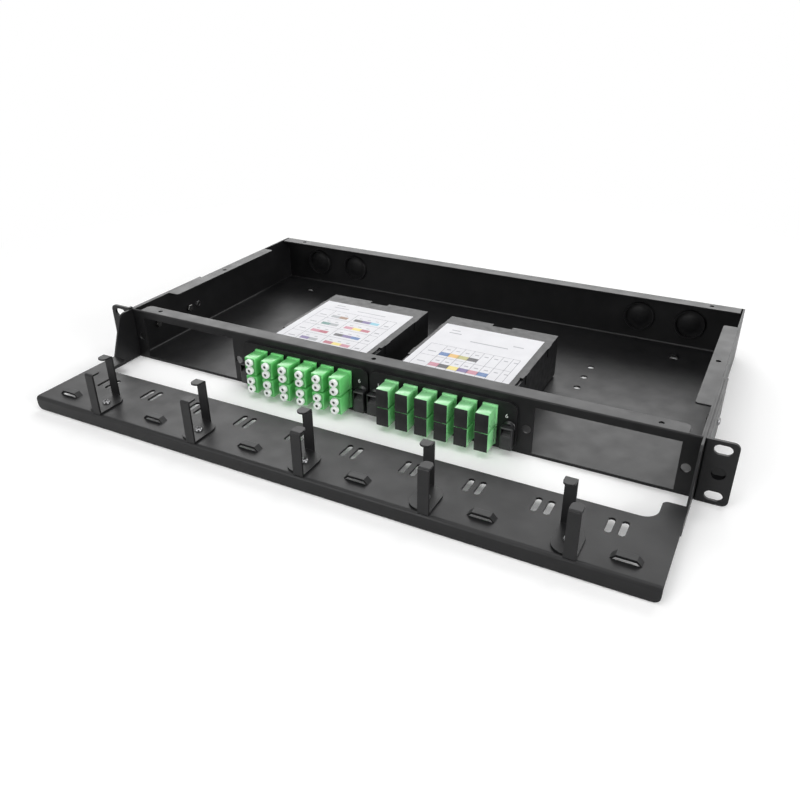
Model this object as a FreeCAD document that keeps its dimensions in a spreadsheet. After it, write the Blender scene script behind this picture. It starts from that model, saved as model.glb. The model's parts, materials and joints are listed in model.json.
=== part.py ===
import FreeCAD, Part
import math
import os
import re
import Sketcher

# A 1U, 19-inch fibre patch panel, in millimetres, with +Z up and the cable tray towards -Y.
# Each piece is drawn with y = 0 on the bezel's front face and z = 0 under the chassis.
# The origin of the finished model is the middle of the bottom of the box round all of it.

SIZES = (
    # rack standard: the slots' spacing across and up, which the panel's width and height follow
    ("rack_span", 465.1),
    ("rack_rise", 31.75),
    ("rack_slot", 10.5),
    ("rack_slot_width", 6.5),
    # chassis, one folded sheet
    ("chassis_clear", 12.05),
    ("chassis_depth", 220.0),
    ("chassis_gauge", 1.2),
    ("chassis_bend", 1.0),
    ("floor_bend", 1.6),
    ("bar_height", 6.0),
    ("bar_flange", 12.0),
    ("bar_inset", 8.0),
    ("bar_corner", 4.0),
    ("rear_flange", 12.0),
    ("rear_inset", 2.5),
    ("tab_width", 11.0),
    ("tab_start", 41.5),
    ("tab_length", 136.0),
    ("tab_corner", 2.0),
    ("cover_hole", 3.5),
    ("cover_inset", 24.5),
    ("cover_edge", 6.0),
    ("floor_hole", 5.4),
    ("floor_hole_inset", 100.1),
    ("floor_hole_depth", 125.4),
    ("floor_hole_spacing", 19.6),
    ("tie_inset", 44.0),
    ("tie_setback", 27.0),
    ("tie_length", 9.0),
    ("tie_width", 6.0),
    ("tie_rise", 3.0),
    ("tie_ramp", 3.0),
    # module bays in the bezel
    ("bay_margin", 0.5),
    ("bay_column", 20.0),
    ("bay_sill", 2.0),
    ("latch_hole", 6.0),
    ("latch_inset", 5.5),
    # blanking plugs in the rear wall
    ("plug_hole", 25.4),
    ("plug_inset", 39.0),
    ("plug_spacing", 41.5),
    ("plug_lift", 1.0),
    ("plug_rim", 1.2),
    ("plug_lip", 1.8),
    ("plug_skirt", 4.0),
    ("plug_fit", 0.1),
    # tray brackets
    ("bracket_gauge", 1.5),
    ("bracket_lift", 0.5),
    ("bracket_brow", 13.0),
    ("bracket_corner", 7.0),
    ("bracket_tail", 84.0),
    ("bracket_foot", 12.0),
    ("foot_length", 15.5),
    ("weld_gap", 0.3),
    # rack ears
    ("ear_gauge", 2.0),
    ("ear_edge", 8.75),
    ("ear_brim", 5.625),
    ("ear_proud", 1.0),
    ("ear_leg", 86.0),
    ("ear_trim", 1.5),
    ("ear_bend", 1.2),
    ("ear_corner", 4.0),
    ("dimple_width", 8.6),
    ("dimple_depth", 1.3),
    # ear screws and nuts
    ("ear_screw", 3.0),
    ("ear_screw_fit", 0.15),
    ("ear_screw_first", 23.4),
    ("ear_screw_second", 62.4),
    ("ear_spare", 74.2),
    ("ear_spare_hole", 3.6),
    ("ear_head", 6.0),
    ("ear_head_rise", 1.6),
    ("ear_nut", 6.35),
    ("ear_nut_rise", 2.4),
    # cable tray
    ("tray_gauge", 1.5),
    ("tray_top", 10.2),
    ("tray_lip", 0.3),
    ("tray_reach", 101.6),
    ("tray_deck", 55.1),
    ("tray_bend", 2.5),
    ("tray_corner", 4.0),
    ("arm_width", 14.0),
    ("arm_length", 20.2),
    ("arm_sweep", 9.0),
    ("arm_tip", 3.5),
    ("strap_margin", 11.0),
    ("strap_gap", 7.6),
    ("strap_slot", 14.0),
    ("strap_width", 4.0),
    ("strap_inset", 16.0),
    ("lance_margin", 21.0),
    ("lance_edge", 14.1),
    ("lance_length", 17.0),
    ("lance_width", 5.0),
    ("lance_rise", 3.0),
    ("lance_ramp", 3.0),
    # cable clips
    ("clip_gauge", 1.2),
    ("clip_margin", 53.7),
    ("clip_shift", 1.3),
    ("clip_edge", 0.9),
    ("clip_width", 16.4),
    ("clip_depth", 28.0),
    ("clip_post", 7.0),
    ("clip_height", 31.8),
    ("clip_drop", 1.2),
    ("clip_lip", 8.2),
    ("clip_lip_corner", 2.8),
    ("clip_step", 1.8),
    ("clip_corner", 8.5),
    ("clip_bend", 1.6),
    ("clip_screw", 3.0),
    ("clip_screw_fit", 0.15),
    ("clip_head", 5.6),
    ("clip_head_rise", 1.8),
    ("clip_screw_length", 4.0),
    # module faceplates
    ("plate_gap", 1.4),
    ("plate_overlap", 0.5),
    ("plate_gauge", 2.0),
    ("plate_corner", 6.0),
    # cassettes, lids and labels
    ("cassette_side", 0.75),
    ("cassette_under", 0.6),
    ("cassette_over", 0.8),
    ("cassette_depth", 116.5),
    ("cassette_wall", 1.5),
    ("entry_width", 16.0),
    ("entry_drop", 8.0),
    ("lid_gauge", 1.5),
    ("lid_notch", 4.0),
    ("lid_step", 1.8),
    ("lid_nick", 2.4),
    ("lid_nick_start", 35.0),
    ("lid_nick_end", 37.0),
    ("lid_tab", 0.5),
    ("lid_tab_length", 8.0),
    ("lid_tab_drop", 7.0),
    ("lid_tab_first", 46.0),
    ("lid_tab_second", 95.0),
    ("label_margin", 4.25),
    ("label_depth", 87.0),
    ("label_start", 14.0),
    ("label_shift", 1.6),
    ("label_gauge", 0.2),
    # splice holders
    ("holder_width", 56.0),
    ("holder_depth", 30.0),
    ("holder_height", 7.0),
    ("holder_start", 62.0),
    ("groove_spacing", 6.0),
    ("groove_width", 3.0),
    ("groove_drop", 4.5),
    # adapters and dust caps
    ("adapter_margin", 0.9),
    ("adapter_gap", 1.8),
    ("adapter_width", 9.3),
    ("adapter_front", 17.2),
    ("adapter_tail", 11.5),
    ("adapter_fit", 0.1),
    ("collar_rise", 0.5),
    ("collar_depth", 2.0),
    ("lc_spacing", 6.25),
    ("lc_port", 4.6),
    ("lc_port_depth", 7.0),
    ("lc_cap_gap", 0.25),
    ("lc_cap_rise", 2.4),
    ("sc_rim", 0.45),
    ("sc_port_depth", 9.0),
    ("sc_plug_fit", 0.1),
    ("sc_plug_rise", 0.4),
    ("sc_plug_depth", 6.0),
    # plungers and grommets
    ("grommet_flange", 8.4),
    ("grommet_rise", 1.0),
    ("grommet_tail", 6.0),
    ("grommet_fit", 0.1),
    ("pin_width", 3.0),
    ("pin_fit", 0.1),
    ("pin_tail", 5.5),
    ("grip_gap", 0.3),
    ("grip_width", 8.5),
    ("grip_depth", 4.9),
    ("grip_height", 16.3),
    ("grip_drop", 14.5),
    ("grip_wall", 0.9),
    ("recess_depth", 3.4),
    ("recess_sill", 9.3),
    ("recess_climb", 3.5),
)

BAYS = 4
STRAP_PAIRS = 10
TRAY_LANCES = 6
GROOVES = 6
CLIPS = 5
COLUMNS = 6
ROWS = 2

# Sides of the small round things that repeat or are hidden, which keeps the number of facets down.
HIDDEN_SIDES = 6
CAP_SIDES = 8
SMALL_SIDES = 10
PLUG_SIDES = 12
DIMPLE_SIDES = 16

# Points of a small rounded corner, as shares of its radius from the corner along its two sides.
CORNER_STEPS = ((0, 1), (0.134, 0.5), (0.5, 0.134), (1, 0))

# Where the bezel's front face lies in the finished model.
FACE = "(tray_reach - chassis_depth - plug_rim) / 2"
# Heights follow the rack's slots, from the ears to the chassis, the bays, the cassettes and the adapters.
EAR_TOP = "(rack_rise + 2 * ear_brim)"
CHASSIS_TOP = "(rack_rise + 2 * ear_brim - ear_proud)"
MIDDLE = "(rack_rise / 2 + ear_brim - ear_proud / 2)"
SLOT_TOP = "(%s - bar_height)" % CHASSIS_TOP
LATCH_LEVEL = "(%s + bay_sill) / 2" % SLOT_TOP
PLATE_TOP = "(%s + plate_overlap)" % SLOT_TOP
PLATE_BOTTOM = "(bay_sill - plate_overlap)"
CASSETTE_BOTTOM = "(bay_sill + cassette_under)"
CASSETTE_TOP = "(%s - cassette_over)" % SLOT_TOP
CASSETTE_FLOOR = "(bay_sill + cassette_under + cassette_wall)"
LID_UNDER = "(%s - lid_gauge)" % CASSETTE_TOP
ADAPTER_ROW = "((%s - %s) / %d)" % (LID_UNDER, CASSETTE_FLOOR, ROWS)
ADAPTER_HEIGHT = "(%s - adapter_gap)" % ADAPTER_ROW
# Widths follow the rack's slots too; the ears lie outside the brackets, which lie outside the chassis.
SIDE = "(rack_span / 2 - chassis_clear)"
EAR_INNER = "(rack_span / 2 - chassis_clear + bracket_gauge)"
BAY_PITCH = "((2 * %s - 2 * bay_margin) / %d)" % (SIDE, BAYS)
LATCH_OFFSET = "(%s / 2 - latch_inset)" % BAY_PITCH
CASSETTE_WIDTH = "(%s - bay_column - 2 * cassette_side)" % BAY_PITCH
ADAPTER_PITCH = "((%s - 2 * adapter_margin) / %d)" % (CASSETTE_WIDTH, COLUMNS)
STRAP_PITCH = "((2 * %s - 2 * strap_margin) / %d)" % (EAR_INNER, STRAP_PAIRS)
LANCE_PITCH = "((2 * %s - 2 * lance_margin) / %d)" % (EAR_INNER, TRAY_LANCES - 1)
CLIP_PITCH = "((2 * %s - 2 * clip_margin) / %d)" % (EAR_INNER, CLIPS - 1)
PLUG_PLACES = ["%s (%s - plug_inset%s)" % (sign, SIDE, shift) for sign in ("-", "")
               for shift in ("", " - plug_spacing")]
# The tray's levels and lines.
DECK_UNDER = "(tray_top - tray_gauge)"
DECK_REAR = "(tray_deck - tray_reach)"
CLIP_LINE = "(clip_edge + clip_depth / 2 - tray_reach)"

doc = FreeCAD.newDocument("FibrePatchPanel")
sheet = doc.addObject("Spreadsheet::Sheet", "Sizes")
for row, (alias, value) in enumerate(SIZES, 1):
    sheet.set("A%d" % row, alias)
    sheet.set("B%d" % row, str(value))
    sheet.setAlias("B%d" % row, alias)
doc.recompute()

nodes = []


def linked(formula):
    """A formula with each size's name made a reference to the sheet."""
    return re.sub(r"[a-z][a-z_]+", lambda word: "Sizes." + word.group(0), formula)


def number(formula):
    """What a formula comes to with the sheet as it stands."""
    return float(sheet.evalExpression(linked(formula)))


def bind(thing, **formulas):
    """Bind properties to formulas; x, y and z stand for the placement."""
    for name, formula in formulas.items():
        path = "Placement.Base." + name if name in "xyz" else name
        thing.setExpression(path, linked(formula))


def keep(thing, label):
    """Enter a finished piece under the name of its file."""
    thing.Label = label
    nodes.append(thing)
    return thing


# Sketched pieces

def new_body(label):
    body = doc.addObject("PartDesign::Body", label)
    bind(body, y=FACE)
    return keep(body, label)


def origin_feature(body, role):
    return [item for item in body.Origin.OriginFeatures if item.Role == role][0]


def new_sketch(body, plane, offset):
    """A sketch on one of the body's own planes; XZ faces the front, YZ the right."""
    sketch = body.newObject("Sketcher::SketchObject", "Profile")
    sketch.AttachmentSupport = [(origin_feature(body, plane), "")]
    sketch.MapMode = "FlatFace"
    sketch.setExpression("AttachmentOffset.Base.z", linked(offset))
    return sketch


def pinned(geometry, position, across, up):
    """Rules that hold a point of a sketch at two formulas from the sketch's origin."""
    return [(Sketcher.Constraint("DistanceX", -1, 1, geometry, position, number(across)), across),
            (Sketcher.Constraint("DistanceY", -1, 1, geometry, position, number(up)), up)]


def rounded(geometry, width):
    """The rule that gives a circle or an arc its width."""
    radius = width + " / 2"
    return [(Sketcher.Constraint("Radius", geometry, number(radius)), radius)]


def apply_rules(sketch, rules):
    """Add rules to a sketch at once, each bound to its formula where it has one."""
    indices = sketch.addConstraint([rule for rule, formula in rules])
    for index, (rule, formula) in zip(indices, rules):
        if formula:
            sketch.setExpression("Constraints[%d]" % index, linked(formula))


def polygon(sketch, corners):
    """A closed run of lines through corners given as pairs of formulas."""
    points = [FreeCAD.Vector(number(across), number(up), 0) for across, up in corners]
    first = sketch.GeometryCount
    count = len(points)
    sketch.addGeometry([Part.LineSegment(points[index], points[(index + 1) % count])
                        for index in range(count)], False)
    rules = []
    for index, (across, up) in enumerate(corners):
        following = first + (index + 1) % count
        rules.append((Sketcher.Constraint("Coincident", first + index, 2, following, 1), None))
        rules += pinned(first + index, 1, across, up)
    apply_rules(sketch, rules)


def tongue(left, right, root, tip, back, radius):
    """Corners of a tongue with a rounded tip; back is the sign of the way from its tip to its root."""
    corners = [(left, root), (right, root)]
    for edge, inward, steps in ((right, "-", CORNER_STEPS), (left, "+", reversed(CORNER_STEPS))):
        for across, along in steps:
            corners.append(("%s %s %g * %s" % (edge, inward, across, radius),
                            "%s %s %g * %s" % (tip, back, along, radius)))
    return corners


def rectangle(sketch, left, bottom, right, top):
    polygon(sketch, ((left, bottom), (right, bottom), (right, top), (left, top)))


def circle(sketch, across, up, width):
    centre = FreeCAD.Vector(number(across), number(up), 0)
    shape = Part.Circle(centre, FreeCAD.Vector(0, 0, 1), number(width) / 2)
    geometry = sketch.addGeometry(shape, False)
    apply_rules(sketch, pinned(geometry, 3, across, up) + rounded(geometry, width))


def facets(sketch, across, up, width, sides, turn=0):
    """A many-sided hole, measured over its corners, with its first corner at an angle."""
    corners = []
    for index in range(sides):
        angle = math.radians(turn + 360 * index / sides)
        corners.append(("%s + %.6f * %s" % (across, math.cos(angle) / 2, width),
                        "%s + %.6f * %s" % (up, math.sin(angle) / 2, width)))
    polygon(sketch, corners)


def oval(sketch, across, up, length, width):
    """A slot along the sketch's first axis: two half circles joined by two lines."""
    first = sketch.GeometryCount
    arcs = []
    rules = []
    for geometry, sign, start in ((first, "+", -90), (first + 1, "-", 90)):
        middle = "%s %s (%s - %s) / 2" % (across, sign, length, width)
        centre = FreeCAD.Vector(number(middle), number(up), 0)
        round_end = Part.Circle(centre, FreeCAD.Vector(0, 0, 1), number(width) / 2)
        arcs.append(Part.ArcOfCircle(round_end, math.radians(start), math.radians(start + 180)))
        rules += pinned(geometry, 3, middle, up) + rounded(geometry, width)
        for end in (1, 2):
            rules.append((Sketcher.Constraint("Vertical", geometry, end, geometry, 3), None))
    lines = []
    for index in (0, 1):
        line = first + 2 + index
        lines.append(Part.LineSegment(arcs[index].EndPoint, arcs[1 - index].StartPoint))
        rules.append((Sketcher.Constraint("Coincident", line, 1, first + index, 2), None))
        rules.append((Sketcher.Constraint("Coincident", line, 2, first + 1 - index, 1), None))
    sketch.addGeometry(arcs + lines, False)
    apply_rules(sketch, rules)


def pad(body, sketch, length, flip=False):
    """Add along the sketch's normal, or against it when flipped."""
    feature = body.newObject("PartDesign::Pad", "Pad")
    feature.Profile = sketch
    feature.Reversed = flip
    bind(feature, Length=length)
    return feature


def cut(body, sketch, length, flip=False):
    """Remove along the sketch's normal, or against it when flipped."""
    feature = body.newObject("PartDesign::Pocket", "Cut")
    feature.Profile = sketch
    feature.Reversed = not flip
    bind(feature, Length=length)
    return feature


def repeat(body, features, length, count):
    """Repeat features along X over a length."""
    doc.recompute()
    feature = body.newObject("PartDesign::LinearPattern", "Row")
    feature.Originals = features
    feature.Direction = (origin_feature(body, "X_Axis"), [""])
    feature.Occurrences = count
    bind(feature, Length=length)
    body.Tip = feature
    return feature


def round_edges(body, radius, *places):
    """Round the straight edges that lie at the given places, such as x and z."""
    doc.recompute()
    base = body.Tip
    chosen = []
    for place in places:
        at = {axis: number(formula) for axis, formula in place.items()}
        for index, edge in enumerate(base.Shape.Edges, 1):
            ends = [vertex.Point for vertex in edge.Vertexes]
            near = [abs(getattr(end, axis) - value) < 1e-4 for end in ends for axis, value in at.items()]
            if len(ends) == 2 and all(near):
                chosen.append("Edge%d" % index)
    feature = body.newObject("PartDesign::Fillet", "Round")
    feature.Base = (base, chosen)
    bind(feature, Radius=radius)
    return feature


def bridge(body, across, along, level, gauge, length, width, rise, ramp):
    """A strip of the sheet pushed up into a bridge over the hole that it leaves."""
    hole = new_sketch(body, "XY_Plane", "%s - 2 * %s" % (level, gauge))
    rectangle(hole, "%s - %s / 2" % (across, length), "%s - %s / 2" % (along, width),
              "%s + %s / 2" % (across, length), "%s + %s / 2" % (along, width))
    opening = cut(body, hole, "3 * " + gauge)
    strip = new_sketch(body, "XZ_Plane", "%s / 2 - (%s)" % (width, along))
    outer = "%s / 2" % length
    inner = "(%s / 2 - %s)" % (length, ramp)
    under = "%s - %s" % (level, gauge)
    upper = "%s + %s" % (level, rise)
    below = "%s + %s - %s" % (level, rise, gauge)
    left, right = across + " - ", across + " + "
    polygon(strip, ((left + outer, under), (left + outer, level), (left + inner, upper),
                    (right + inner, upper), (right + outer, level), (right + outer, under),
                    (right + inner, below), (left + inner, below)))
    return [opening, pad(body, strip, width, flip=True)]


# Pieces from primitives, drawn straight in the finished model's place

def block(left, front, bottom, width, depth, height):
    piece = doc.addObject("Part::Box", "Block")
    bind(piece, x=left, y="%s + %s" % (FACE, front), z=bottom, Length=width, Width=depth, Height=height)
    return piece


TURNS = {
    "x": FreeCAD.Rotation(FreeCAD.Vector(0, 1, 0), 90),
    "y": FreeCAD.Rotation(FreeCAD.Vector(1, 0, 0), -90),
    "z": FreeCAD.Rotation(),
}


def bar(sides, axis, across, along, up, width, length):
    """A many-sided rod from a point along +X, +Y or +Z, measured over its corners."""
    piece = doc.addObject("Part::Prism", "Bar")
    piece.Polygon = sides
    piece.Placement.Rotation = TURNS[axis]
    bind(piece, x=across, y="%s + %s" % (FACE, along), z=up, Circumradius=width + " / 2", Height=length)
    return piece


def wedge(left, front, bottom, width, depth, height, climb):
    """A block from front to back whose lower face climbs on the way."""
    piece = doc.addObject("Part::Wedge", "Wedge")
    piece.X2min = 0
    bind(piece, x=left, y="%s + %s" % (FACE, front), z=bottom, Xmax=width, X2max=width, Ymax=depth,
         Zmax=height, Z2max=height, Z2min=climb)
    return piece


def join(*pieces):
    result = doc.addObject("Part::MultiFuse", "Join")
    result.Shapes = list(pieces)
    return result


def remove(base, *tools):
    result = doc.addObject("Part::Cut", "Remove")
    result.Base = base
    result.Tool = tools[0] if len(tools) == 1 else join(*tools)
    return result


def group(label, pieces):
    """Alike pieces kept as one node of separate solids."""
    result = doc.addObject("Part::Compound", label)
    result.Links = pieces
    return keep(result, label)


# Chassis

def make_chassis():
    body = new_body("chassis_base")
    gauge = "chassis_gauge"
    outline = new_sketch(body, "XY_Plane", "0")
    rectangle(outline, "-" + SIDE, "0", SIDE, "chassis_depth")
    pad(body, outline, CHASSIS_TOP)
    inside = new_sketch(body, "XY_Plane", gauge)
    rectangle(inside, "chassis_gauge - " + SIDE, gauge,
              SIDE + " - chassis_gauge", "chassis_depth - chassis_gauge")
    cut(body, inside, CHASSIS_TOP)
    walls = [{"x": sign + "(%s - chassis_gauge)" % SIDE, "z": gauge} for sign in ("-", "")]
    round_edges(body, "floor_bend", {"y": "chassis_depth - chassis_gauge", "z": gauge}, *walls)

    # Flanges turned in along the top: the bar, the rear and a tab on each side.
    bar_end = "(%s - bar_inset)" % SIDE
    rear_end = "(%s - rear_inset)" % SIDE
    tab_edge = "(%s - tab_width)" % SIDE
    tab_end = "tab_start + tab_length"
    flanges = new_sketch(body, "XY_Plane", CHASSIS_TOP + " - chassis_gauge")
    rectangle(flanges, "-" + bar_end, "0", bar_end, "bar_flange")
    rectangle(flanges, "-" + rear_end, "chassis_depth - rear_flange", rear_end, "chassis_depth")
    for sign, back in (("-", "-"), ("", "+")):
        tab = tongue("tab_start", tab_end, sign + SIDE, sign + tab_edge, back, "tab_corner")
        polygon(flanges, [(across, along) for along, across in tab])
    pad(body, flanges, gauge)
    round_edges(body, "bar_corner", *[{"x": sign + bar_end, "y": "bar_flange"} for sign in ("-", "")])
    round_edges(body, "chassis_bend", {"y": "0", "z": CHASSIS_TOP},
                {"y": "chassis_depth", "z": CHASSIS_TOP})

    # Four bays, each with a latch hole on either side, which a module hides in the middle two.
    bay = "-%s * %g" % (BAY_PITCH, (BAYS - 1) / 2)
    half_bay = "(%s - bay_column) / 2" % BAY_PITCH
    window = new_sketch(body, "XZ_Plane", gauge)
    rectangle(window, "%s - %s" % (bay, half_bay), "bay_sill", "%s + %s" % (bay, half_bay), SLOT_TOP)
    opening = cut(body, window, "3 * chassis_gauge", flip=True)
    repeat(body, [opening], "%s * %d" % (BAY_PITCH, BAYS - 1), BAYS)
    latches = new_sketch(body, "XZ_Plane", gauge)
    for place in range(BAYS):
        for side in ("-", "+"):
            across = "%s * %g %s %s" % (BAY_PITCH, place - (BAYS - 1) / 2, side, LATCH_OFFSET)
            if place in (0, BAYS - 1):
                circle(latches, across, LATCH_LEVEL, "latch_hole")
            else:
                facets(latches, across, LATCH_LEVEL, "latch_hole", HIDDEN_SIDES)
    cut(body, latches, "3 * chassis_gauge", flip=True)

    # Screw holes for the cover in the flanges, and holes in the floor.
    holes = new_sketch(body, "XY_Plane", CHASSIS_TOP + " - 2 * chassis_gauge")
    circle(holes, "0", "cover_edge", "cover_hole")
    for sign in ("-", ""):
        corner = "%s (%s - cover_inset)" % (sign, SIDE)
        circle(holes, corner, "cover_edge", "cover_hole")
        circle(holes, corner, "chassis_depth - cover_edge", "cover_hole")
        circle(holes, sign + "(%s - cover_edge)" % SIDE, "tab_start + tab_length / 2", "cover_hole")
    cut(body, holes, "3 * chassis_gauge")
    floor = new_sketch(body, "XY_Plane", "-chassis_gauge")
    for place in (-1, 0, 1):
        circle(floor, SIDE + " - floor_hole_inset", "floor_hole_depth + %d * floor_hole_spacing" % place,
               "floor_hole")
    cut(body, floor, "3 * chassis_gauge")

    # Holes for the blanking plugs and the ear screws.
    rear = new_sketch(body, "XZ_Plane", "2 * chassis_gauge - chassis_depth")
    for across in PLUG_PLACES:
        facets(rear, across, MIDDLE + " + plug_lift", "plug_hole", PLUG_SIDES)
    cut(body, rear, "3 * chassis_gauge", flip=True)
    cut(body, ear_screw_holes(body, "-%s - chassis_gauge" % SIDE), "2 * %s + 2 * chassis_gauge" % SIDE)

    # Two bridges for cable ties.
    tie = bridge(body, "tie_inset - " + SIDE, "chassis_depth - tie_setback", gauge, gauge,
                 "tie_length", "tie_width", "tie_rise", "tie_ramp")
    repeat(body, tie, "2 * (%s - tie_inset)" % SIDE, 2)


def ear_screw_holes(body, offset):
    """Two screw holes and a spare one shared by chassis, bracket and ear, seen from the side."""
    holes = new_sketch(body, "YZ_Plane", offset)
    for along in ("ear_screw_first", "ear_screw_second"):
        facets(holes, along, MIDDLE, "(ear_screw + 2 * ear_screw_fit)", HIDDEN_SIDES, 90)
    facets(holes, "ear_spare", MIDDLE, "ear_spare_hole", CAP_SIDES, 22.5)
    return holes


# Tray brackets, rack ears and their fasteners

def make_bracket(side, sign):
    body = new_body("tray_bracket_" + side)
    start = SIDE if sign > 0 else "-" + EAR_INNER
    front = "%s + arm_length + weld_gap" % DECK_REAR
    toe = "%s + arm_length - foot_length - weld_gap" % DECK_REAR
    plate = new_sketch(body, "YZ_Plane", start)
    polygon(plate, ((toe, "bracket_lift"), ("bracket_tail", "bracket_lift"), ("bracket_tail", CHASSIS_TOP),
                    ("-bracket_brow", CHASSIS_TOP), (front, "tray_top"), (front, DECK_UNDER),
                    (toe, DECK_UNDER)))
    pad(body, plate, "bracket_gauge")
    # The foot turned in under the tray's arm.
    foot = new_sketch(body, "XY_Plane", "%s - bracket_gauge" % DECK_UNDER)
    rectangle(foot, "%d * %s" % (sign, SIDE), toe,
              "%d * (%s - bracket_foot)" % (sign, SIDE), toe + " + foot_length")
    pad(body, foot, "bracket_gauge")
    round_edges(body, "bracket_corner", {"y": "-bracket_brow", "z": CHASSIS_TOP})
    cut(body, ear_screw_holes(body, start + " - bracket_gauge"), "3 * bracket_gauge")


def make_ear(side, sign):
    body = new_body("rack_ear_" + side)
    inner = "%d * %s" % (sign, EAR_INNER)
    outer = "%d * (%s + ear_gauge)" % (sign, EAR_INNER)
    edge = "%d * (rack_span / 2 + ear_edge)" % sign
    angle = new_sketch(body, "XY_Plane", "0")
    polygon(angle, ((inner, "-ear_gauge"), (edge, "-ear_gauge"), (edge, "0"),
                    (outer, "0"), (outer, "ear_leg"), (inner, "ear_leg")))
    pad(body, angle, EAR_TOP)
    # The leg along the chassis is a little lower than the front.
    for level in ("0", EAR_TOP + " - ear_trim"):
        trim = new_sketch(body, "XY_Plane", level)
        rectangle(trim, inner, "ear_gauge", outer, "ear_leg")
        cut(body, trim, "ear_trim")
    round_edges(body, "ear_bend", {"x": inner, "y": "-ear_gauge"})
    round_edges(body, "ear_corner", {"x": edge, "z": "0"}, {"x": edge, "z": EAR_TOP})
    slots = new_sketch(body, "XZ_Plane", "-ear_gauge")
    for shift in ("-", "+"):
        oval(slots, "%d * rack_span / 2" % sign, "%s / 2 %s rack_rise / 2" % (EAR_TOP, shift),
             "rack_slot", "rack_slot_width")
    cut(body, slots, "3 * ear_gauge")
    start = (EAR_INNER if sign > 0 else "-(%s + ear_gauge)" % EAR_INNER) + " - ear_gauge"
    cut(body, ear_screw_holes(body, start), "3 * ear_gauge")
    # The dimple pressed in between the slots.
    rim = new_sketch(body, "XZ_Plane", "ear_gauge")
    facets(rim, "%d * rack_span / 2" % sign, EAR_TOP + " / 2", "dimple_width", DIMPLE_SIDES)
    cut(body, rim, "dimple_depth", flip=True)


def make_ear_fasteners():
    screws = []
    nuts = []
    head = "(%s + ear_gauge)" % EAR_INNER
    tip = "(%s - chassis_gauge - ear_nut_rise)" % SIDE
    for sign in (-1, 1):
        for along in ("ear_screw_first", "ear_screw_second"):
            start = head if sign > 0 else "-%s - ear_head_rise" % head
            cap = bar(SMALL_SIDES, "x", start, along, MIDDLE, "ear_head", "ear_head_rise")
            start = tip if sign > 0 else "-" + head
            length = "%s - %s" % (head, tip)
            shank = bar(HIDDEN_SIDES, "x", start, along, MIDDLE, "ear_screw", length)
            screws.append(join(cap, shank))
            start = tip if sign > 0 else "-%s - ear_nut_rise" % tip
            outside = bar(6, "x", start, along, MIDDLE, "ear_nut", "ear_nut_rise")
            thread = bar(HIDDEN_SIDES, "x", start, along, MIDDLE, "ear_screw", "ear_nut_rise")
            nuts.append(remove(outside, thread))
    group("ear_screws", screws)
    group("ear_nuts", nuts)


# Cable tray and its clips

def make_tray():
    body = new_body("cable_tray")
    lip = "tray_lip"
    arm_rear = "(%s + arm_length)" % DECK_REAR
    section = new_sketch(body, "YZ_Plane", "-" + EAR_INNER)
    polygon(section, (("-tray_reach", lip), ("-tray_reach", "tray_top"), (arm_rear, "tray_top"),
                      (arm_rear, DECK_UNDER), ("tray_gauge - tray_reach", DECK_UNDER),
                      ("tray_gauge - tray_reach", lip)))
    pad(body, section, "2 * " + EAR_INNER)
    # The space between the two arms that hold the tray.
    arm = "(%s - arm_width)" % EAR_INNER
    window = new_sketch(body, "XY_Plane", DECK_UNDER + " - tray_gauge")
    rectangle(window, "-" + arm, DECK_REAR, arm, arm_rear + " + tray_gauge")
    cut(body, window, "3 * tray_gauge")
    round_edges(body, "arm_sweep", {"x": "-" + arm, "y": DECK_REAR}, {"x": arm, "y": DECK_REAR})
    round_edges(body, "arm_tip", {"x": "-" + arm, "y": arm_rear}, {"x": arm, "y": arm_rear})
    round_edges(body, "tray_corner", {"x": "-" + EAR_INNER, "z": lip}, {"x": EAR_INNER, "z": lip})
    round_edges(body, "tray_bend", {"y": "-tray_reach", "z": "tray_top"})
    round_edges(body, "tray_bend - tray_gauge", {"y": "tray_gauge - tray_reach", "z": DECK_UNDER})

    # Pairs of strap slots, screw holes for the clips, and the bridges.
    pair = "-%s * %g" % (STRAP_PITCH, (STRAP_PAIRS - 1) / 2)
    slots = new_sketch(body, "XY_Plane", DECK_UNDER + " - tray_gauge")
    for sign in ("-", "+"):
        strap_slot(slots, "%s %s strap_gap / 2" % (pair, sign))
    opening = cut(body, slots, "3 * tray_gauge")
    repeat(body, [opening], "%s * %d" % (STRAP_PITCH, STRAP_PAIRS - 1), STRAP_PAIRS)
    holes = new_sketch(body, "XY_Plane", DECK_UNDER + " - tray_gauge")
    facets(holes, clip_middle(0), CLIP_LINE, "(clip_screw + 2 * clip_screw_fit)", HIDDEN_SIDES)
    repeat(body, [cut(body, holes, "3 * tray_gauge")], "%s * %d" % (CLIP_PITCH, CLIPS - 1), CLIPS)
    lance = bridge(body, "lance_margin - " + EAR_INNER, "lance_edge - tray_reach", "tray_top", "tray_gauge",
                   "lance_length", "lance_width", "lance_rise", "lance_ramp")
    repeat(body, lance, "%s * %d" % (LANCE_PITCH, TRAY_LANCES - 1), TRAY_LANCES)


def strap_slot(sketch, across):
    """A slot for a strap, with its ends rounded by a cut across each corner."""
    corners = []
    for side, end, cut_first in (("+", "-", False), ("+", "+", True), ("-", "+", False), ("-", "-", True)):
        long_cut = ("%s %s strap_width / 2" % (across, side),
                    "%s - strap_inset %s (strap_slot / 2 - strap_width * 0.3)" % (DECK_REAR, end))
        end_cut = ("%s %s strap_width * 0.2" % (across, side),
                   "%s - strap_inset %s strap_slot / 2" % (DECK_REAR, end))
        corners += [long_cut, end_cut] if cut_first else [end_cut, long_cut]
    polygon(sketch, corners)


def clip_middle(place):
    return "clip_shift + %s * %d" % (CLIP_PITCH, place - (CLIPS - 1) // 2)


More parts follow.
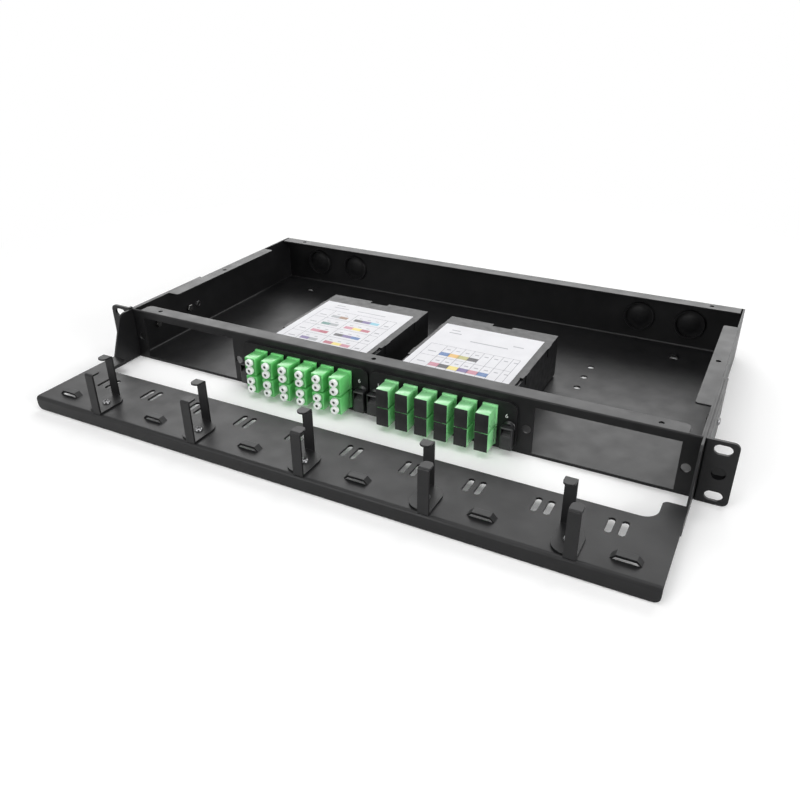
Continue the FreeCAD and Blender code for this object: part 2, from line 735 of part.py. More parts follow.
def make_clip(place):
    body = new_body("cable_clip_%d" % (place + 1))
    middle = clip_middle(place)
    left, right = middle + " - clip_width / 2", middle + " + clip_width / 2"
    front, rear = CLIP_LINE + " - clip_depth / 2", CLIP_LINE + " + clip_depth / 2"
    near, far = front + " + clip_step", rear + " - clip_step"
    base = new_sketch(body, "XY_Plane", "tray_top")
    rectangle(base, left, near, right, far)
    pad(body, base, "clip_gauge")
    round_edges(body, "clip_corner", {"x": left, "y": near}, {"x": right, "y": far})
    # Each post rises from one edge of the base and ends in a lip turned in over the cables.
    tall = "tray_top + clip_height"
    posts = ((right + " - clip_post", front, near, "+", tall + " - clip_drop"), (left, rear, far, "-", tall))
    for start, face, base_edge, inward, top in posts:
        back = "%s %s clip_gauge" % (face, inward)
        tip = "%s %s clip_lip" % (face, inward)
        root = "%s %s clip_gauge" % (base_edge, inward)
        strip = new_sketch(body, "YZ_Plane", start)
        polygon(strip, ((face, "tray_top"), (face, top), (back, top), (back, "tray_top + clip_gauge"),
                        (root, "tray_top + clip_gauge"), (root, "tray_top")))
        pad(body, strip, "clip_post")
        lip = new_sketch(body, "XY_Plane", top + " - clip_gauge")
        outward = "-" if inward == "+" else "+"
        polygon(lip, tongue(start, start + " + clip_post", back, tip, outward, "clip_lip_corner"))
        pad(body, lip, "clip_gauge")
        round_edges(body, "clip_bend", {"y": face, "z": top})
    hole = new_sketch(body, "XY_Plane", "tray_top - clip_gauge")
    facets(hole, middle, CLIP_LINE, "(clip_screw + 2 * clip_screw_fit)", HIDDEN_SIDES)
    cut(body, hole, "3 * clip_gauge")


def make_clip_screws():
    screws = []
    for place in range(CLIPS):
        seat = "tray_top + clip_gauge"
        head = bar(SMALL_SIDES, "z", clip_middle(place), CLIP_LINE, seat, "clip_head", "clip_head_rise")
        length = "(clip_gauge + tray_gauge + clip_screw_length)"
        tip = "%s - %s" % (seat, length)
        shank = bar(HIDDEN_SIDES, "z", clip_middle(place), CLIP_LINE, tip, "clip_screw", length)
        screws.append(join(head, shank))
    group("clip_screws", screws)


# Fibre modules

def module_middle(sign):
    return "%d * %s / 2" % (sign, BAY_PITCH)


def adapter_places(sign):
    """Middles of a module's adapters, row by row from the top left."""
    places = []
    for row in range(ROWS):
        up = "(%s + %s) / 2 + %s * %g" % (CASSETTE_FLOOR, LID_UNDER, ADAPTER_ROW, (ROWS - 1) / 2 - row)
        for column in range(COLUMNS):
            shift = "%s * %g" % (ADAPTER_PITCH, column - (COLUMNS - 1) / 2)
            places.append(("%s + %s" % (module_middle(sign), shift), up))
    return places


def make_faceplate(kind, sign):
    body = new_body("module_faceplate_" + kind)
    middle = module_middle(sign)
    half = "(%s - plate_gap) / 2" % BAY_PITCH
    left, right = "%s - %s" % (middle, half), "%s + %s" % (middle, half)
    outline = new_sketch(body, "XZ_Plane", "0")
    rectangle(outline, left, PLATE_BOTTOM, right, PLATE_TOP)
    pad(body, outline, "plate_gauge")
    round_edges(body, "plate_corner", *[{"x": side, "z": level} for side in (left, right)
                                        for level in (PLATE_BOTTOM, PLATE_TOP)])
    windows = new_sketch(body, "XZ_Plane", "-plate_gauge")
    half_width = "(adapter_width / 2 + adapter_fit)"
    half_height = "(%s / 2 + adapter_fit)" % ADAPTER_HEIGHT
    for across, up in adapter_places(sign)[::COLUMNS]:
        rectangle(windows, "%s - %s" % (across, half_width), "%s - %s" % (up, half_height),
                  "%s + %s" % (across, half_width), "%s + %s" % (up, half_height))
    opening = cut(body, windows, "3 * plate_gauge")
    repeat(body, [opening], "%s * %d" % (ADAPTER_PITCH, COLUMNS - 1), COLUMNS)
    latches = new_sketch(body, "XZ_Plane", "-plate_gauge")
    for side in ("-", "+"):
        facets(latches, "%s %s %s" % (middle, side, LATCH_OFFSET), LATCH_LEVEL, "latch_hole", HIDDEN_SIDES)
    cut(body, latches, "3 * plate_gauge")


def make_cassette(kind, sign):
    body = new_body("cassette_body_" + kind)
    middle = module_middle(sign)
    left, right = "%s - %s / 2" % (middle, CASSETTE_WIDTH), "%s + %s / 2" % (middle, CASSETTE_WIDTH)
    outline = new_sketch(body, "XY_Plane", CASSETTE_BOTTOM)
    rectangle(outline, left, "0", right, "cassette_depth")
    pad(body, outline, "%s - %s" % (LID_UNDER, CASSETTE_BOTTOM))
    # Open at the top, for the lid, and at the front, for the adapters.
    inside = new_sketch(body, "XY_Plane", CASSETTE_FLOOR)
    rectangle(inside, left + " + cassette_wall", "-cassette_wall",
              right + " - cassette_wall", "cassette_depth - cassette_wall")
    cut(body, inside, CASSETTE_TOP)
    entry = new_sketch(body, "XZ_Plane", "-cassette_depth - cassette_wall")
    rectangle(entry, middle + " - entry_width / 2", LID_UNDER + " - entry_drop",
              middle + " + entry_width / 2", CASSETTE_TOP)
    cut(body, entry, "3 * cassette_wall")


def make_lid(kind, sign):
    body = new_body("cassette_lid_" + kind)
    middle = module_middle(sign)
    left, right = "%s - %s / 2" % (middle, CASSETTE_WIDTH), "%s + %s / 2" % (middle, CASSETTE_WIDTH)
    outline = new_sketch(body, "XY_Plane", LID_UNDER)
    rectangle(outline, left, "0", right, "cassette_depth")
    pad(body, outline, "lid_gauge")
    # The sides step in towards the front, with a nick where the step ends.
    steps = new_sketch(body, "XY_Plane", LID_UNDER + " - lid_gauge")
    for edge, sign in ((left, "+"), (right, "-")):
        outside = "%s %s -lid_step" % (edge, sign)
        stepped, nicked = "%s %s lid_step" % (edge, sign), "%s %s lid_nick" % (edge, sign)
        polygon(steps, ((outside, "-lid_step"), (stepped, "-lid_step"), (stepped, "lid_nick_start"),
                        (nicked, "lid_nick_start"), (nicked, "lid_nick_end"), (outside, "lid_nick_end")))
    cut(body, steps, "3 * lid_gauge")
    # The notch over the fibre entry, and the tabs that hook over the cassette's sides.
    notch = new_sketch(body, "XY_Plane", LID_UNDER + " - lid_gauge")
    rectangle(notch, middle + " - entry_width / 2", "cassette_depth - lid_notch",
              middle + " + entry_width / 2", "cassette_depth + lid_notch")
    cut(body, notch, "3 * lid_gauge")
    tabs = new_sketch(body, "XY_Plane", CASSETTE_TOP + " - lid_tab_drop")
    for along in ("lid_tab_first", "lid_tab_second"):
        start, end = along + " - lid_tab_length / 2", along + " + lid_tab_length / 2"
        rectangle(tabs, left + " - lid_tab", start, left, end)
        rectangle(tabs, right, start, right + " + lid_tab", end)
    pad(body, tabs, "lid_tab_drop")


def make_label(kind, sign):
    width = "(%s - 2 * label_margin)" % CASSETTE_WIDTH
    left = "%s - label_shift - %s / 2" % (module_middle(sign), width)
    label = block(left, "label_start", CASSETTE_TOP, width, "label_depth", "label_gauge")
    keep(label, "cassette_label_" + kind)


def make_holder(kind, sign):
    body = new_body("splice_holder_" + kind)
    middle = module_middle(sign)
    outline = new_sketch(body, "XY_Plane", CASSETTE_FLOOR)
    rectangle(outline, middle + " - holder_width / 2", "holder_start",
              middle + " + holder_width / 2", "holder_start + holder_depth")
    pad(body, outline, "holder_height")
    groove = new_sketch(body, "XY_Plane", CASSETTE_FLOOR + " + holder_height - groove_drop")
    first = "%s - groove_spacing * %g" % (middle, (GROOVES - 1) / 2)
    rectangle(groove, first + " - groove_width / 2", "holder_start - groove_width",
              first + " + groove_width / 2", "holder_start + holder_depth + groove_width")
    repeat(body, [cut(body, groove, "2 * groove_drop")], "groove_spacing * %d" % (GROOVES - 1), GROOVES)


def make_adapter_shell(across, up):
    """The housing through the faceplate with the collar that stops on it."""
    left = across + " - adapter_width / 2"
    bottom = "%s - %s / 2" % (up, ADAPTER_HEIGHT)
    housing = block(left, "-adapter_front", bottom,
                    "adapter_width", "adapter_front + adapter_tail", ADAPTER_HEIGHT)
    collar = block(left + " - collar_rise", "-plate_gauge - collar_depth", bottom + " - collar_rise",
                   "adapter_width + 2 * collar_rise", "collar_depth", ADAPTER_HEIGHT + " + 2 * collar_rise")
    return join(housing, collar)


def make_lc_adapters(sign):
    caps = []
    for index, (across, up) in enumerate(adapter_places(sign), 1):
        ports = []
        for side in ("-", "+"):
            level = "%s %s lc_spacing / 2" % (up, side)
            ports.append(block(across + " - lc_port / 2", "-adapter_front - adapter_fit",
                               level + " - lc_port / 2", "lc_port", "lc_port_depth + adapter_fit", "lc_port"))
            front = "-adapter_front - lc_cap_rise"
            width = "(lc_spacing - lc_cap_gap)"
            caps.append(bar(CAP_SIDES, "y", across, front, level, width, "lc_cap_rise"))
        keep(remove(make_adapter_shell(across, up), *ports), "lc_adapter_%02d" % index)
    group("lc_dust_caps", caps)


def make_sc_adapters(sign):
    plugs = []
    for index, (across, up) in enumerate(adapter_places(sign), 1):
        left = across + " - adapter_width / 2"
        bottom = "%s - %s / 2" % (up, ADAPTER_HEIGHT)
        port = block(left + " + sc_rim", "-adapter_front - adapter_fit", bottom + " + sc_rim",
                     "adapter_width - 2 * sc_rim", "sc_port_depth + adapter_fit",
                     ADAPTER_HEIGHT + " - 2 * sc_rim")
        keep(remove(make_adapter_shell(across, up), port), "sc_adapter_%02d" % index)
        rim = "(sc_rim + sc_plug_fit)"
        plugs.append(block(left + " + " + rim, "-adapter_front - sc_plug_rise", bottom + " + " + rim,
                           "adapter_width - 2 * " + rim, "sc_plug_rise + sc_plug_depth",
                           "%s - 2 * %s" % (ADAPTER_HEIGHT, rim)))
    group("sc_dust_caps", plugs)


def latch_places():
    """Middles of the four plungers from left to right."""
    return ["%s %s %s" % (module_middle(sign), side, LATCH_OFFSET)
            for sign in (-1, 1) for side in ("-", "+")]


def make_grommets():
    grommets = []
    for across in latch_places():
        flange = bar(SMALL_SIDES, "y", across, "-plate_gauge - grommet_rise", LATCH_LEVEL,
                     "grommet_flange", "grommet_rise")
        sleeve = bar(HIDDEN_SIDES, "y", across, "-plate_gauge", LATCH_LEVEL,
                     "(latch_hole - 2 * grommet_fit)", "plate_gauge + grommet_tail")
        bore = bar(SMALL_SIDES, "y", across, "-plate_gauge - 2 * grommet_rise", LATCH_LEVEL,
                   "(pin_width + 2 * pin_fit)", "plate_gauge + 2 * grommet_rise + 2 * grommet_tail")
        grommets.append(remove(join(flange, sleeve), bore))
    group("plunger_grommets", grommets)


def make_plunger(index, across):
    """A grip with a finger recess, on a pin that runs in the grommet's bore."""
    seat = "-plate_gauge - grommet_rise - grip_gap"
    front = seat + " - grip_depth"
    left = across + " - grip_width / 2"
    bottom = LATCH_LEVEL + " - grip_drop"
    grip = block(left, front, bottom, "grip_width", "grip_depth", "grip_height")
    recess = wedge(left + " + grip_wall", front, bottom + " + recess_sill", "grip_width - 2 * grip_wall",
                   "recess_depth", "grip_height - grip_wall - recess_sill", "recess_climb")
    pin = bar(SMALL_SIDES, "y", across, seat, LATCH_LEVEL, "pin_width",
              "plate_gauge + grommet_rise + grip_gap + pin_tail")
    keep(join(remove(grip, recess), pin), "plunger_%d" % index)


# Blanking plugs

def make_rear_plugs():
    plugs = []
    for across in PLUG_PLACES:
        rim = bar(PLUG_SIDES, "y", across, "chassis_depth", MIDDLE + " + plug_lift",
                  "(plug_hole + 2 * plug_lip)", "plug_rim")
        skirt = bar(PLUG_SIDES, "y", across, "chassis_depth - plug_skirt", MIDDLE + " + plug_lift",
                    "(plug_hole - 2 * plug_fit)", "plug_skirt")
        plugs.append(join(rim, skirt))
    group("rear_plugs", plugs)


make_chassis()
for side, sign in (("left", -1), ("right", 1)):
    make_bracket(side, sign)
    make_ear(side, sign)
make_ear_fasteners()
make_tray()
for place in range(CLIPS):
    make_clip(place)
make_clip_screws()
for kind, sign in (("lc", -1), ("sc", 1)):
    make_faceplate(kind, sign)
    make_cassette(kind, sign)
    make_lid(kind, sign)
    make_label(kind, sign)
    make_holder(kind, sign)
make_lc_adapters(-1)
make_sc_adapters(1)
make_grommets()
for index, across in enumerate(latch_places(), 1):
    make_plunger(index, across)
make_rear_plugs()
doc.recompute()

# Each object is sound, each cut has removed something, and each piece is whole.
for thing in doc.Objects:
    if "Invalid" in thing.State or "Error" in thing.State:
        raise RuntimeError("%s did not build" % thing.Name)
    if thing.TypeId == "PartDesign::Pocket" and thing.Shape.Volume > thing.BaseFeature.Shape.Volume - 1e-6:
        raise RuntimeError("%s removed nothing" % thing.Name)
for node in nodes:
    if node.Shape.isNull() or not node.Shape.isValid() or not node.Shape.Solids:
        raise RuntimeError("%s is not a sound solid" % node.Label)

os.makedirs("parts", exist_ok=True)
for node in nodes:
    node.Shape.exportStep("parts/%s.step" % node.Label)
    print(node.Label, len(node.Shape.Solids), round(node.Shape.Volume, 1))
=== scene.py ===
# %% [markdown]
# # A fibre patch panel with its cover off
# A shallow steel chassis for a 19-inch rack carries two fibre modules with green adapters, and a cable
# tray with clips stands in front of it. The solids come from the CAD model and are never moved.
# This lesson gives them their finishes, and makes finer pieces for what is turned, moulded or printed.
# The pieces' sizes are in millimetres, and MM turns them into Blender's metres.

# %% Load the panel
import json
import math

import bmesh
import bpy
from mathutils import Matrix, Vector


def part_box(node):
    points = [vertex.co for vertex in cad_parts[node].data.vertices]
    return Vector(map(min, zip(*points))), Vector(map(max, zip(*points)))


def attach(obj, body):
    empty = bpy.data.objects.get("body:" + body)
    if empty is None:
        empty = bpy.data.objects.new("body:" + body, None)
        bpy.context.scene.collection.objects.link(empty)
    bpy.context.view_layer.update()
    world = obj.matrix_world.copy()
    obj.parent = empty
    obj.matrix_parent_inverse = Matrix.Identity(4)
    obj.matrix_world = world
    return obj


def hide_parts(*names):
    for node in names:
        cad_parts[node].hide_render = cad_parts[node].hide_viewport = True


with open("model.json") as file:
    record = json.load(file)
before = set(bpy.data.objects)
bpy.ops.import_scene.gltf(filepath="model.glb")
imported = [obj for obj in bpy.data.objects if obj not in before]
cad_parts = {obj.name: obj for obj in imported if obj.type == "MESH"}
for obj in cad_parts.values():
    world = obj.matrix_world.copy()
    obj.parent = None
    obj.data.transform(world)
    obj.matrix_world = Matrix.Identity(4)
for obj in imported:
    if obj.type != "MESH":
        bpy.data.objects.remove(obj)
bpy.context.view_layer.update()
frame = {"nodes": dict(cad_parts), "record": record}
scene = bpy.context.scene
MM = 0.001

# %% [markdown]
# ## The camera
# The photograph looks down on the panel from the front right with a fairly wide lens. The eye's place
# and its three turns were solved from points in the picture, with the rack ears' standard size for scale,
# so the camera is built from three directions: ahead, across and upward. Aiming a Track To constraint
# would lose the slight roll.

# %% Set the camera
EYE = Vector((0.24022, -0.47365, 0.27319))
YAW, PITCH, ROLL = 0.48227, -0.50013, -0.00733
SENSOR, LENS = 36.0, 34.456

ahead = Vector((-math.sin(YAW) * math.cos(PITCH), math.cos(YAW) * math.cos(PITCH), math.sin(PITCH)))
across = Vector((math.cos(YAW), math.sin(YAW), 0.0))
upward = across.cross(ahead)
right = math.cos(ROLL) * across + math.sin(ROLL) * upward
above = math.cos(ROLL) * upward - math.sin(ROLL) * across

camera = bpy.data.objects.new("camera", bpy.data.cameras.new("camera"))
camera.data.sensor_width = SENSOR
camera.data.lens = LENS
camera.data.clip_start = 0.01
camera.matrix_world = Matrix.Translation(EYE) @ Matrix((right, above, -ahead)).transposed().to_4x4()
scene.collection.objects.link(camera)
scene.camera = camera
print("camera", round(EYE.length, 3), "m from the middle of the panel's base")

# %% [markdown]
# ## Wiring nodes
# The room, the table and every finish are trees of shader nodes. They could be wired by hand in the
# editor, but a few helpers keep the script short. The last one uses a Light Path node to tell the rays
# that see a surface, straight or in a mirror, from those that only carry its light. The Standard view
# shows the colours as they are.

# %% Wire nodes
scene.view_settings.view_transform = "Standard"


def link(tree, source, target):
    tree.links.new(source, target)


def maths(tree, operation, first, second):
    """What a Math node makes of two sockets."""
    node = tree.nodes.new("ShaderNodeMath")
    node.operation = operation
    link(tree, first, node.inputs[0])
    link(tree, second, node.inputs[1])
    return node.outputs[0]


def ramped(tree, value, start, end, low, high):
    """A Map Range node that turns start into low and end into high."""
    ramp = tree.nodes.new("ShaderNodeMapRange")
    ramp.inputs["From Min"].default_value = start
    ramp.inputs["From Max"].default_value = end
    ramp.inputs["To Min"].default_value = low
    ramp.inputs["To Max"].default_value = high
    link(tree, value, ramp.inputs["Value"])
    return ramp


def seen_or_mirrored(tree):
    """1 for camera, mirror and see-through rays, and 0 for the rays that only carry light."""
    path = tree.nodes.new("ShaderNodeLightPath").outputs
    seen = maths(tree, "MAXIMUM", path["Is Camera Ray"], path["Is Glossy Ray"])
    return maths(tree, "MAXIMUM", seen, path["Is Transmission Ray"])


print("colours are shown by the", scene.view_settings.view_transform, "view")

# %% [markdown]
# ## The room
# Black paint shows mostly what it mirrors. The room round the panel is white but dark round the
# photographer, so the bends that face the camera stay nearly black. As light it is much weaker than it
# looks, because a white room at full strength would wash the shadow out.

# %% Whiten the room
GLOW = 0.14
DARK_SIDE = 0.08

room = bpy.data.worlds.new("white_room")
room.use_nodes = True
scene.world = room
tree = room.node_tree
tree.nodes.clear()
glow = tree.nodes.new("ShaderNodeBackground")
glow.inputs["Strength"].default_value = GLOW
heading = tree.nodes.new("ShaderNodeTexCoord")
towards = tree.nodes.new("ShaderNodeVectorMath")
towards.operation = "DOT_PRODUCT"
towards.inputs[1].default_value = EYE.normalized()
link(tree, heading.outputs["Object"], towards.inputs[0])
shade = ramped(tree, towards.outputs["Value"], 0.72, 0.9, 1.0, DARK_SIDE)
shade.interpolation_type = "SMOOTHSTEP"
straight = tree.nodes.new("ShaderNodeLightPath")
white = tree.nodes.new("ShaderNodeBackground")
white.inputs["Color"].default_value = (1, 1, 1, 1)
link(tree, maths(tree, "MAXIMUM", straight.outputs["Is Camera Ray"], shade.outputs[0]),
     white.inputs["Strength"])
choose = tree.nodes.new("ShaderNodeMixShader")
link(tree, seen_or_mirrored(tree), choose.inputs[0])
link(tree, glow.outputs[0], choose.inputs[1])
link(tree, white.outputs[0], choose.inputs[2])
link(tree, choose.outputs[0], tree.nodes.new("ShaderNodeOutputWorld").inputs["Surface"])
print("the room gives", GLOW, "of its white as light")

# %% [markdown]
# ## The softboxes
# Soft light comes from broad lamps. The level black surfaces look grey because one of them stands behind
# the panel, and a small one above that draws the light line along the bend of the floor. The key stands
# low and far to the right, so each adapter shades its neighbour and the gaps stay dark. One lamp overhead
# lights the tops and the labels, and a weaker one at the front left reaches the adapters' fronts, but not
# the sides that the camera sees. A lamp's energy follows its area, so its size and its brightness can be
# set apart.

# %% Hang the softboxes
def softbox(name, place, width, height, radiance):
    """A rectangular lamp that faces the middle of the panel, measured in metres."""
    lamp = bpy.data.lights.new(name, "AREA")
    lamp.shape = "RECTANGLE"
    lamp.size = width
    lamp.size_y = height
    lamp.energy = radiance * math.pi * width * height
    holder = bpy.data.objects.new(name, lamp)
    holder.location = place
    holder.rotation_euler = (-Vector(place)).to_track_quat("-Z", "Y").to_euler()
    scene.collection.objects.link(holder)


softbox("back_softbox", (-0.5, 1.35, 0.8), 2.3, 0.95, radiance=2.75)
softbox("key_softbox", (1.6, -0.45, 0.5), 0.9, 0.7, radiance=9.5)
softbox("fill_softbox", (-0.45, -1.4, 0.6), 0.8, 0.8, radiance=4.4)
softbox("top_softbox", (0.0, -0.3, 1.5), 1.4, 1.0, radiance=2.4)
softbox("high_softbox", (0.75, 1.25, 1.35), 0.8, 0.5, radiance=3.0)

# %% [markdown]
# ## The table
# The panel stands on a white table. It is one big grid far wider than the view, a hair below the panel.
# It belongs to the stage, so it isn't part of the panel.

# %% Lay the table
TABLE_HALF = 30.0  # metres
TABLE_DROP = 0.3

table_mesh = bmesh.new()
bmesh.ops.create_grid(table_mesh, x_segments=1, y_segments=1, size=TABLE_HALF,
                      matrix=Matrix.Translation((0, 0, -TABLE_DROP * MM)))
table = bpy.data.objects.new("table", bpy.data.meshes.new("table"))
table_mesh.to_mesh(table.data)
table_mesh.free()
scene.collection.objects.link(table)
print("table", table.dimensions.x, "m wide")

# %% [markdown]
# Near the panel the table is a matt white surface that keeps the shadow, with a little glow of its own.
# Further out it fades into the room's white, so there is no horizon. Only the rays that see the table,
# straight or in a mirror, meet the glow and the fade, so the panel is not lit by them.

# %% Whiten the table
GLIMMER = 0.08
FADE_FROM, FADE_TO = 0.25, 0.6  # metres from the middle of the panel

top = bpy.data.materials.new("white_table")
top.use_nodes = True
tree = top.node_tree
tree.nodes.clear()
matt = tree.nodes.new("ShaderNodeBsdfDiffuse")
matt.inputs["Color"].default_value = (0.95, 0.95, 0.95, 1)
seen = seen_or_mirrored(tree)
glimmer = tree.nodes.new("ShaderNodeEmission")
link(tree, ramped(tree, seen, 0.0, 1.0, 0.0, GLIMMER).outputs[0], glimmer.inputs["Strength"])
near = tree.nodes.new("ShaderNodeAddShader")
link(tree, matt.outputs[0], near.inputs[0])
link(tree, glimmer.outputs[0], near.inputs[1])
fade = tree.nodes.new("ShaderNodeEmission")
fade.inputs["Strength"].default_value = 1.0
where = tree.nodes.new("ShaderNodeTexCoord")
reach = tree.nodes.new("ShaderNodeVectorMath")
reach.operation = "LENGTH"
link(tree, where.outputs["Object"], reach.inputs[0])
far = ramped(tree, reach.outputs["Value"], FADE_FROM, FADE_TO, 0.0, 1.0)
blend = tree.nodes.new("ShaderNodeMixShader")
link(tree, maths(tree, "MULTIPLY", far.outputs[0], seen), blend.inputs[0])
link(tree, near.outputs[0], blend.inputs[1])
link(tree, fade.outputs[0], blend.inputs[2])
link(tree, blend.outputs[0], tree.nodes.new("ShaderNodeOutputMaterial").inputs["Surface"])
table.data.materials.append(top)
print("the table fades out from", FADE_FROM, "to", FADE_TO, "m")

# %% [markdown]
# ## One recipe for the finishes
# Paint, moulded plastic and plated steel differ in colour, in gloss and in the size of their grain. One
# recipe covers them: a noise in the piece's own millimetres tints the colour between two shades, a second
# one varies the gloss, and a third one raises the grain. The Bevel node turns the light round sharp sheet
# edges, as paint does, with no change to the solids. The sheet metal is the first to use it: the chassis
# and the tray have a satin powder coat, and the modules' plates a slightly finer one.

# %% Write the recipe and mix the sheet's paint
def noise(tree, grain, detail=2.0):
    """A noise whose lumps are about that many millimetres across."""
    where = tree.nodes.new("ShaderNodeTexCoord")
    lumps = tree.nodes.new("ShaderNodeTexNoise")
    lumps.inputs["Scale"].default_value = 1.0 / (grain * MM)
    lumps.inputs["Detail"].default_value = detail
    link(tree, where.outputs["Object"], lumps.inputs["Vector"])
    return lumps.outputs["Fac"]


def spread(tree, value, low, high):
    """The middle part of a noise stretched from low to high."""
    return ramped(tree, value, 0.3, 0.7, low, high).outputs[0]


def raised(tree, height, strength, depth, edge=0.0):
    """A bump of that depth in millimetres, on edges rounded by that many millimetres."""
    bump = tree.nodes.new("ShaderNodeBump")
    bump.inputs["Strength"].default_value = strength
    bump.inputs["Distance"].default_value = depth * MM
    link(tree, height, bump.inputs["Height"])
    if edge:
        rounding = tree.nodes.new("ShaderNodeBevel")
        rounding.samples = 4
        rounding.inputs["Radius"].default_value = edge * MM
        link(tree, rounding.outputs[0], bump.inputs["Normal"])
    return bump.outputs[0]


def finish(name, dark, light, tint, gloss, gloss_grain, grain, lift, edge=0.0, **values):
    """A finish between two shades, with roughness from gloss[0] to gloss[1] and a raised grain."""
    paint = bpy.data.materials.new(name)
    paint.use_nodes = True
    tree = paint.node_tree
    surface = tree.nodes["Principled BSDF"]
    mix = tree.nodes.new("ShaderNodeMix")
    mix.data_type = "RGBA"
    mix.inputs["A"].default_value = (*dark, 1)
    mix.inputs["B"].default_value = (*light, 1)
    link(tree, spread(tree, noise(tree, tint), 0.0, 1.0), mix.inputs["Factor"])
    link(tree, mix.outputs["Result"], surface.inputs["Base Color"])
    link(tree, spread(tree, noise(tree, gloss_grain, 3.0), *gloss), surface.inputs["Roughness"])
    link(tree, raised(tree, noise(tree, grain), 0.35, lift, edge), surface.inputs["Normal"])
    for socket, value in values.items():
        surface.inputs[socket.replace("_", " ")].default_value = value
    return paint


materials_before = len(bpy.data.materials)
powder_coat = finish("powder_coat", (0.006, 0.006, 0.0065), (0.0085, 0.0085, 0.009), tint=9.0,
                     gloss=(0.36, 0.46), gloss_grain=14.0, grain=0.55, lift=0.03, edge=0.35, IOR=1.35)
plate_coat = finish("plate_coat", (0.006, 0.006, 0.0065), (0.0085, 0.0085, 0.009), tint=6.0,
                    gloss=(0.34, 0.44), gloss_grain=8.0, grain=0.5, lift=0.03, edge=0.3, IOR=1.35)
print(len(bpy.data.materials) - materials_before, "paints")

# %% [markdown]
# ## Plastics
# The cassettes, square plugs, grips and blanking plugs are moulded in black plastics that differ a little
# in gloss, and the splice holders inside the cassettes are grey. The simplex adapters are a paler green
# than the duplex ones. Both have a clear coat, which gives moulded plastic its sharper shine over a satin
# base. The round caps are milky, and their holes have a darker finish, because little light comes back out
# of a deep hole.

# %% Mix the plastics
cassette_plastic = finish("cassette_plastic", (0.006, 0.006, 0.0066), (0.009, 0.009, 0.0098), tint=7.0,
                          gloss=(0.34, 0.46), gloss_grain=5.0, grain=0.3, lift=0.03, edge=0.3, IOR=1.3)
duplex_green = finish("duplex_green", (0.14, 0.6, 0.17), (0.16, 0.65, 0.19), tint=3.0,
                      gloss=(0.28, 0.38), gloss_grain=2.5, grain=0.25, lift=0.012,
                      Coat_Weight=1.0, Coat_Roughness=0.28, Coat_IOR=1.6)
simplex_green = finish("simplex_green", (0.24, 0.65, 0.275), (0.27, 0.7, 0.305), tint=3.0,
                       gloss=(0.26, 0.34), gloss_grain=2.5, grain=0.3, lift=0.008,
                       Coat_Weight=1.0, Coat_Roughness=0.25, Coat_IOR=1.65)
milky_plastic = finish("milky_plastic", (0.82, 0.85, 0.83), (0.9, 0.92, 0.91), tint=1.6,
                       gloss=(0.28, 0.4), gloss_grain=1.2, grain=0.3, lift=0.01)
bore_shade = finish("bore_shade", (0.1, 0.14, 0.1), (0.15, 0.2, 0.15), tint=0.8,
                    gloss=(0.5, 0.6), gloss_grain=0.6, grain=0.2, lift=0.01)
cap_plastic = finish("cap_plastic", (0.008, 0.008, 0.0085), (0.012, 0.0125, 0.0125), tint=2.5,
                     gloss=(0.4, 0.52), gloss_grain=2.0, grain=0.3, lift=0.02, IOR=1.4)
nylon = finish("nylon", (0.011, 0.011, 0.0118), (0.016, 0.016, 0.017), tint=2.0,
               gloss=(0.34, 0.46), gloss_grain=1.5, grain=0.3, lift=0.015)
plug_plastic = finish("plug_plastic", (0.005, 0.005, 0.0055), (0.0075, 0.0075, 0.008), tint=4.0,
                      gloss=(0.4, 0.5), gloss_grain=3.0, grain=0.35, lift=0.02, IOR=1.33)
holder_plastic = finish("holder_plastic", (0.5, 0.51, 0.53), (0.57, 0.58, 0.6), tint=5.0,
                        gloss=(0.4, 0.5), gloss_grain=3.0, grain=0.4, lift=0.02, edge=0.2)
print(len(bpy.data.materials) - materials_before, "finishes with the plastics")

# %% [markdown]
# ## Steel and paper
# The screws are blackened steel and the nuts are zinc plated, so both are metallic and their grain is
# fine. The labels are white paper with little shine: its clouding is wide and its gloss weak, or the
# print would wash out under the lamps.

# %% Mix the steel and the paper
dark_steel = finish("dark_steel", (0.16, 0.16, 0.165), (0.24, 0.24, 0.245), tint=1.0,
                    gloss=(0.24, 0.36), gloss_grain=0.8, grain=0.2, lift=0.008, Metallic=1.0)
zinc = finish("zinc", (0.12, 0.12, 0.117), (0.19, 0.19, 0.184), tint=1.2,
              gloss=(0.2, 0.34), gloss_grain=1.0, grain=0.25, lift=0.01, Metallic=1.0)
label_paper = finish("label_paper", (0.7, 0.7, 0.725), (0.74, 0.74, 0.765), tint=11.0,
                     gloss=(0.5, 0.6), gloss_grain=6.0, grain=0.2, lift=0.006, IOR=1.3)
print(len(bpy.data.materials) - materials_before, "finishes with the steel and the paper")

# %% [markdown]
# ## Dress the solids
# Most of the panel is folded and painted sheet, and its solids already have the right shape, so they only
# change their finish. The record names a slot for every node, and each slot has its finish here.

# %% Paint the solids
SLOT_FINISH = {
    "black_powder_coat": powder_coat,
    "black_screw": dark_steel,
    "zinc_nut": zinc,
    "black_faceplate": plate_coat,
    "black_cassette": cassette_plastic,
    "white_label": label_paper,
    "grey_holder": holder_plastic,
    "green_adapter": duplex_green,
    "milky_cap": milky_plastic,
    "black_cap": cap_plastic,
    "black_nylon": nylon,
    "black_plug": plug_plastic,
}
slot_of = {part["node"]: part["material_slot"] for part in frame["record"]["subparts"]}
for name, solid in frame["nodes"].items():
    solid.data.materials.clear()
    solid.data.materials.append(SLOT_FINISH[slot_of[name]])
print("painted", len(frame["nodes"]), "solids in", len(set(slot_of.values())), "finishes")
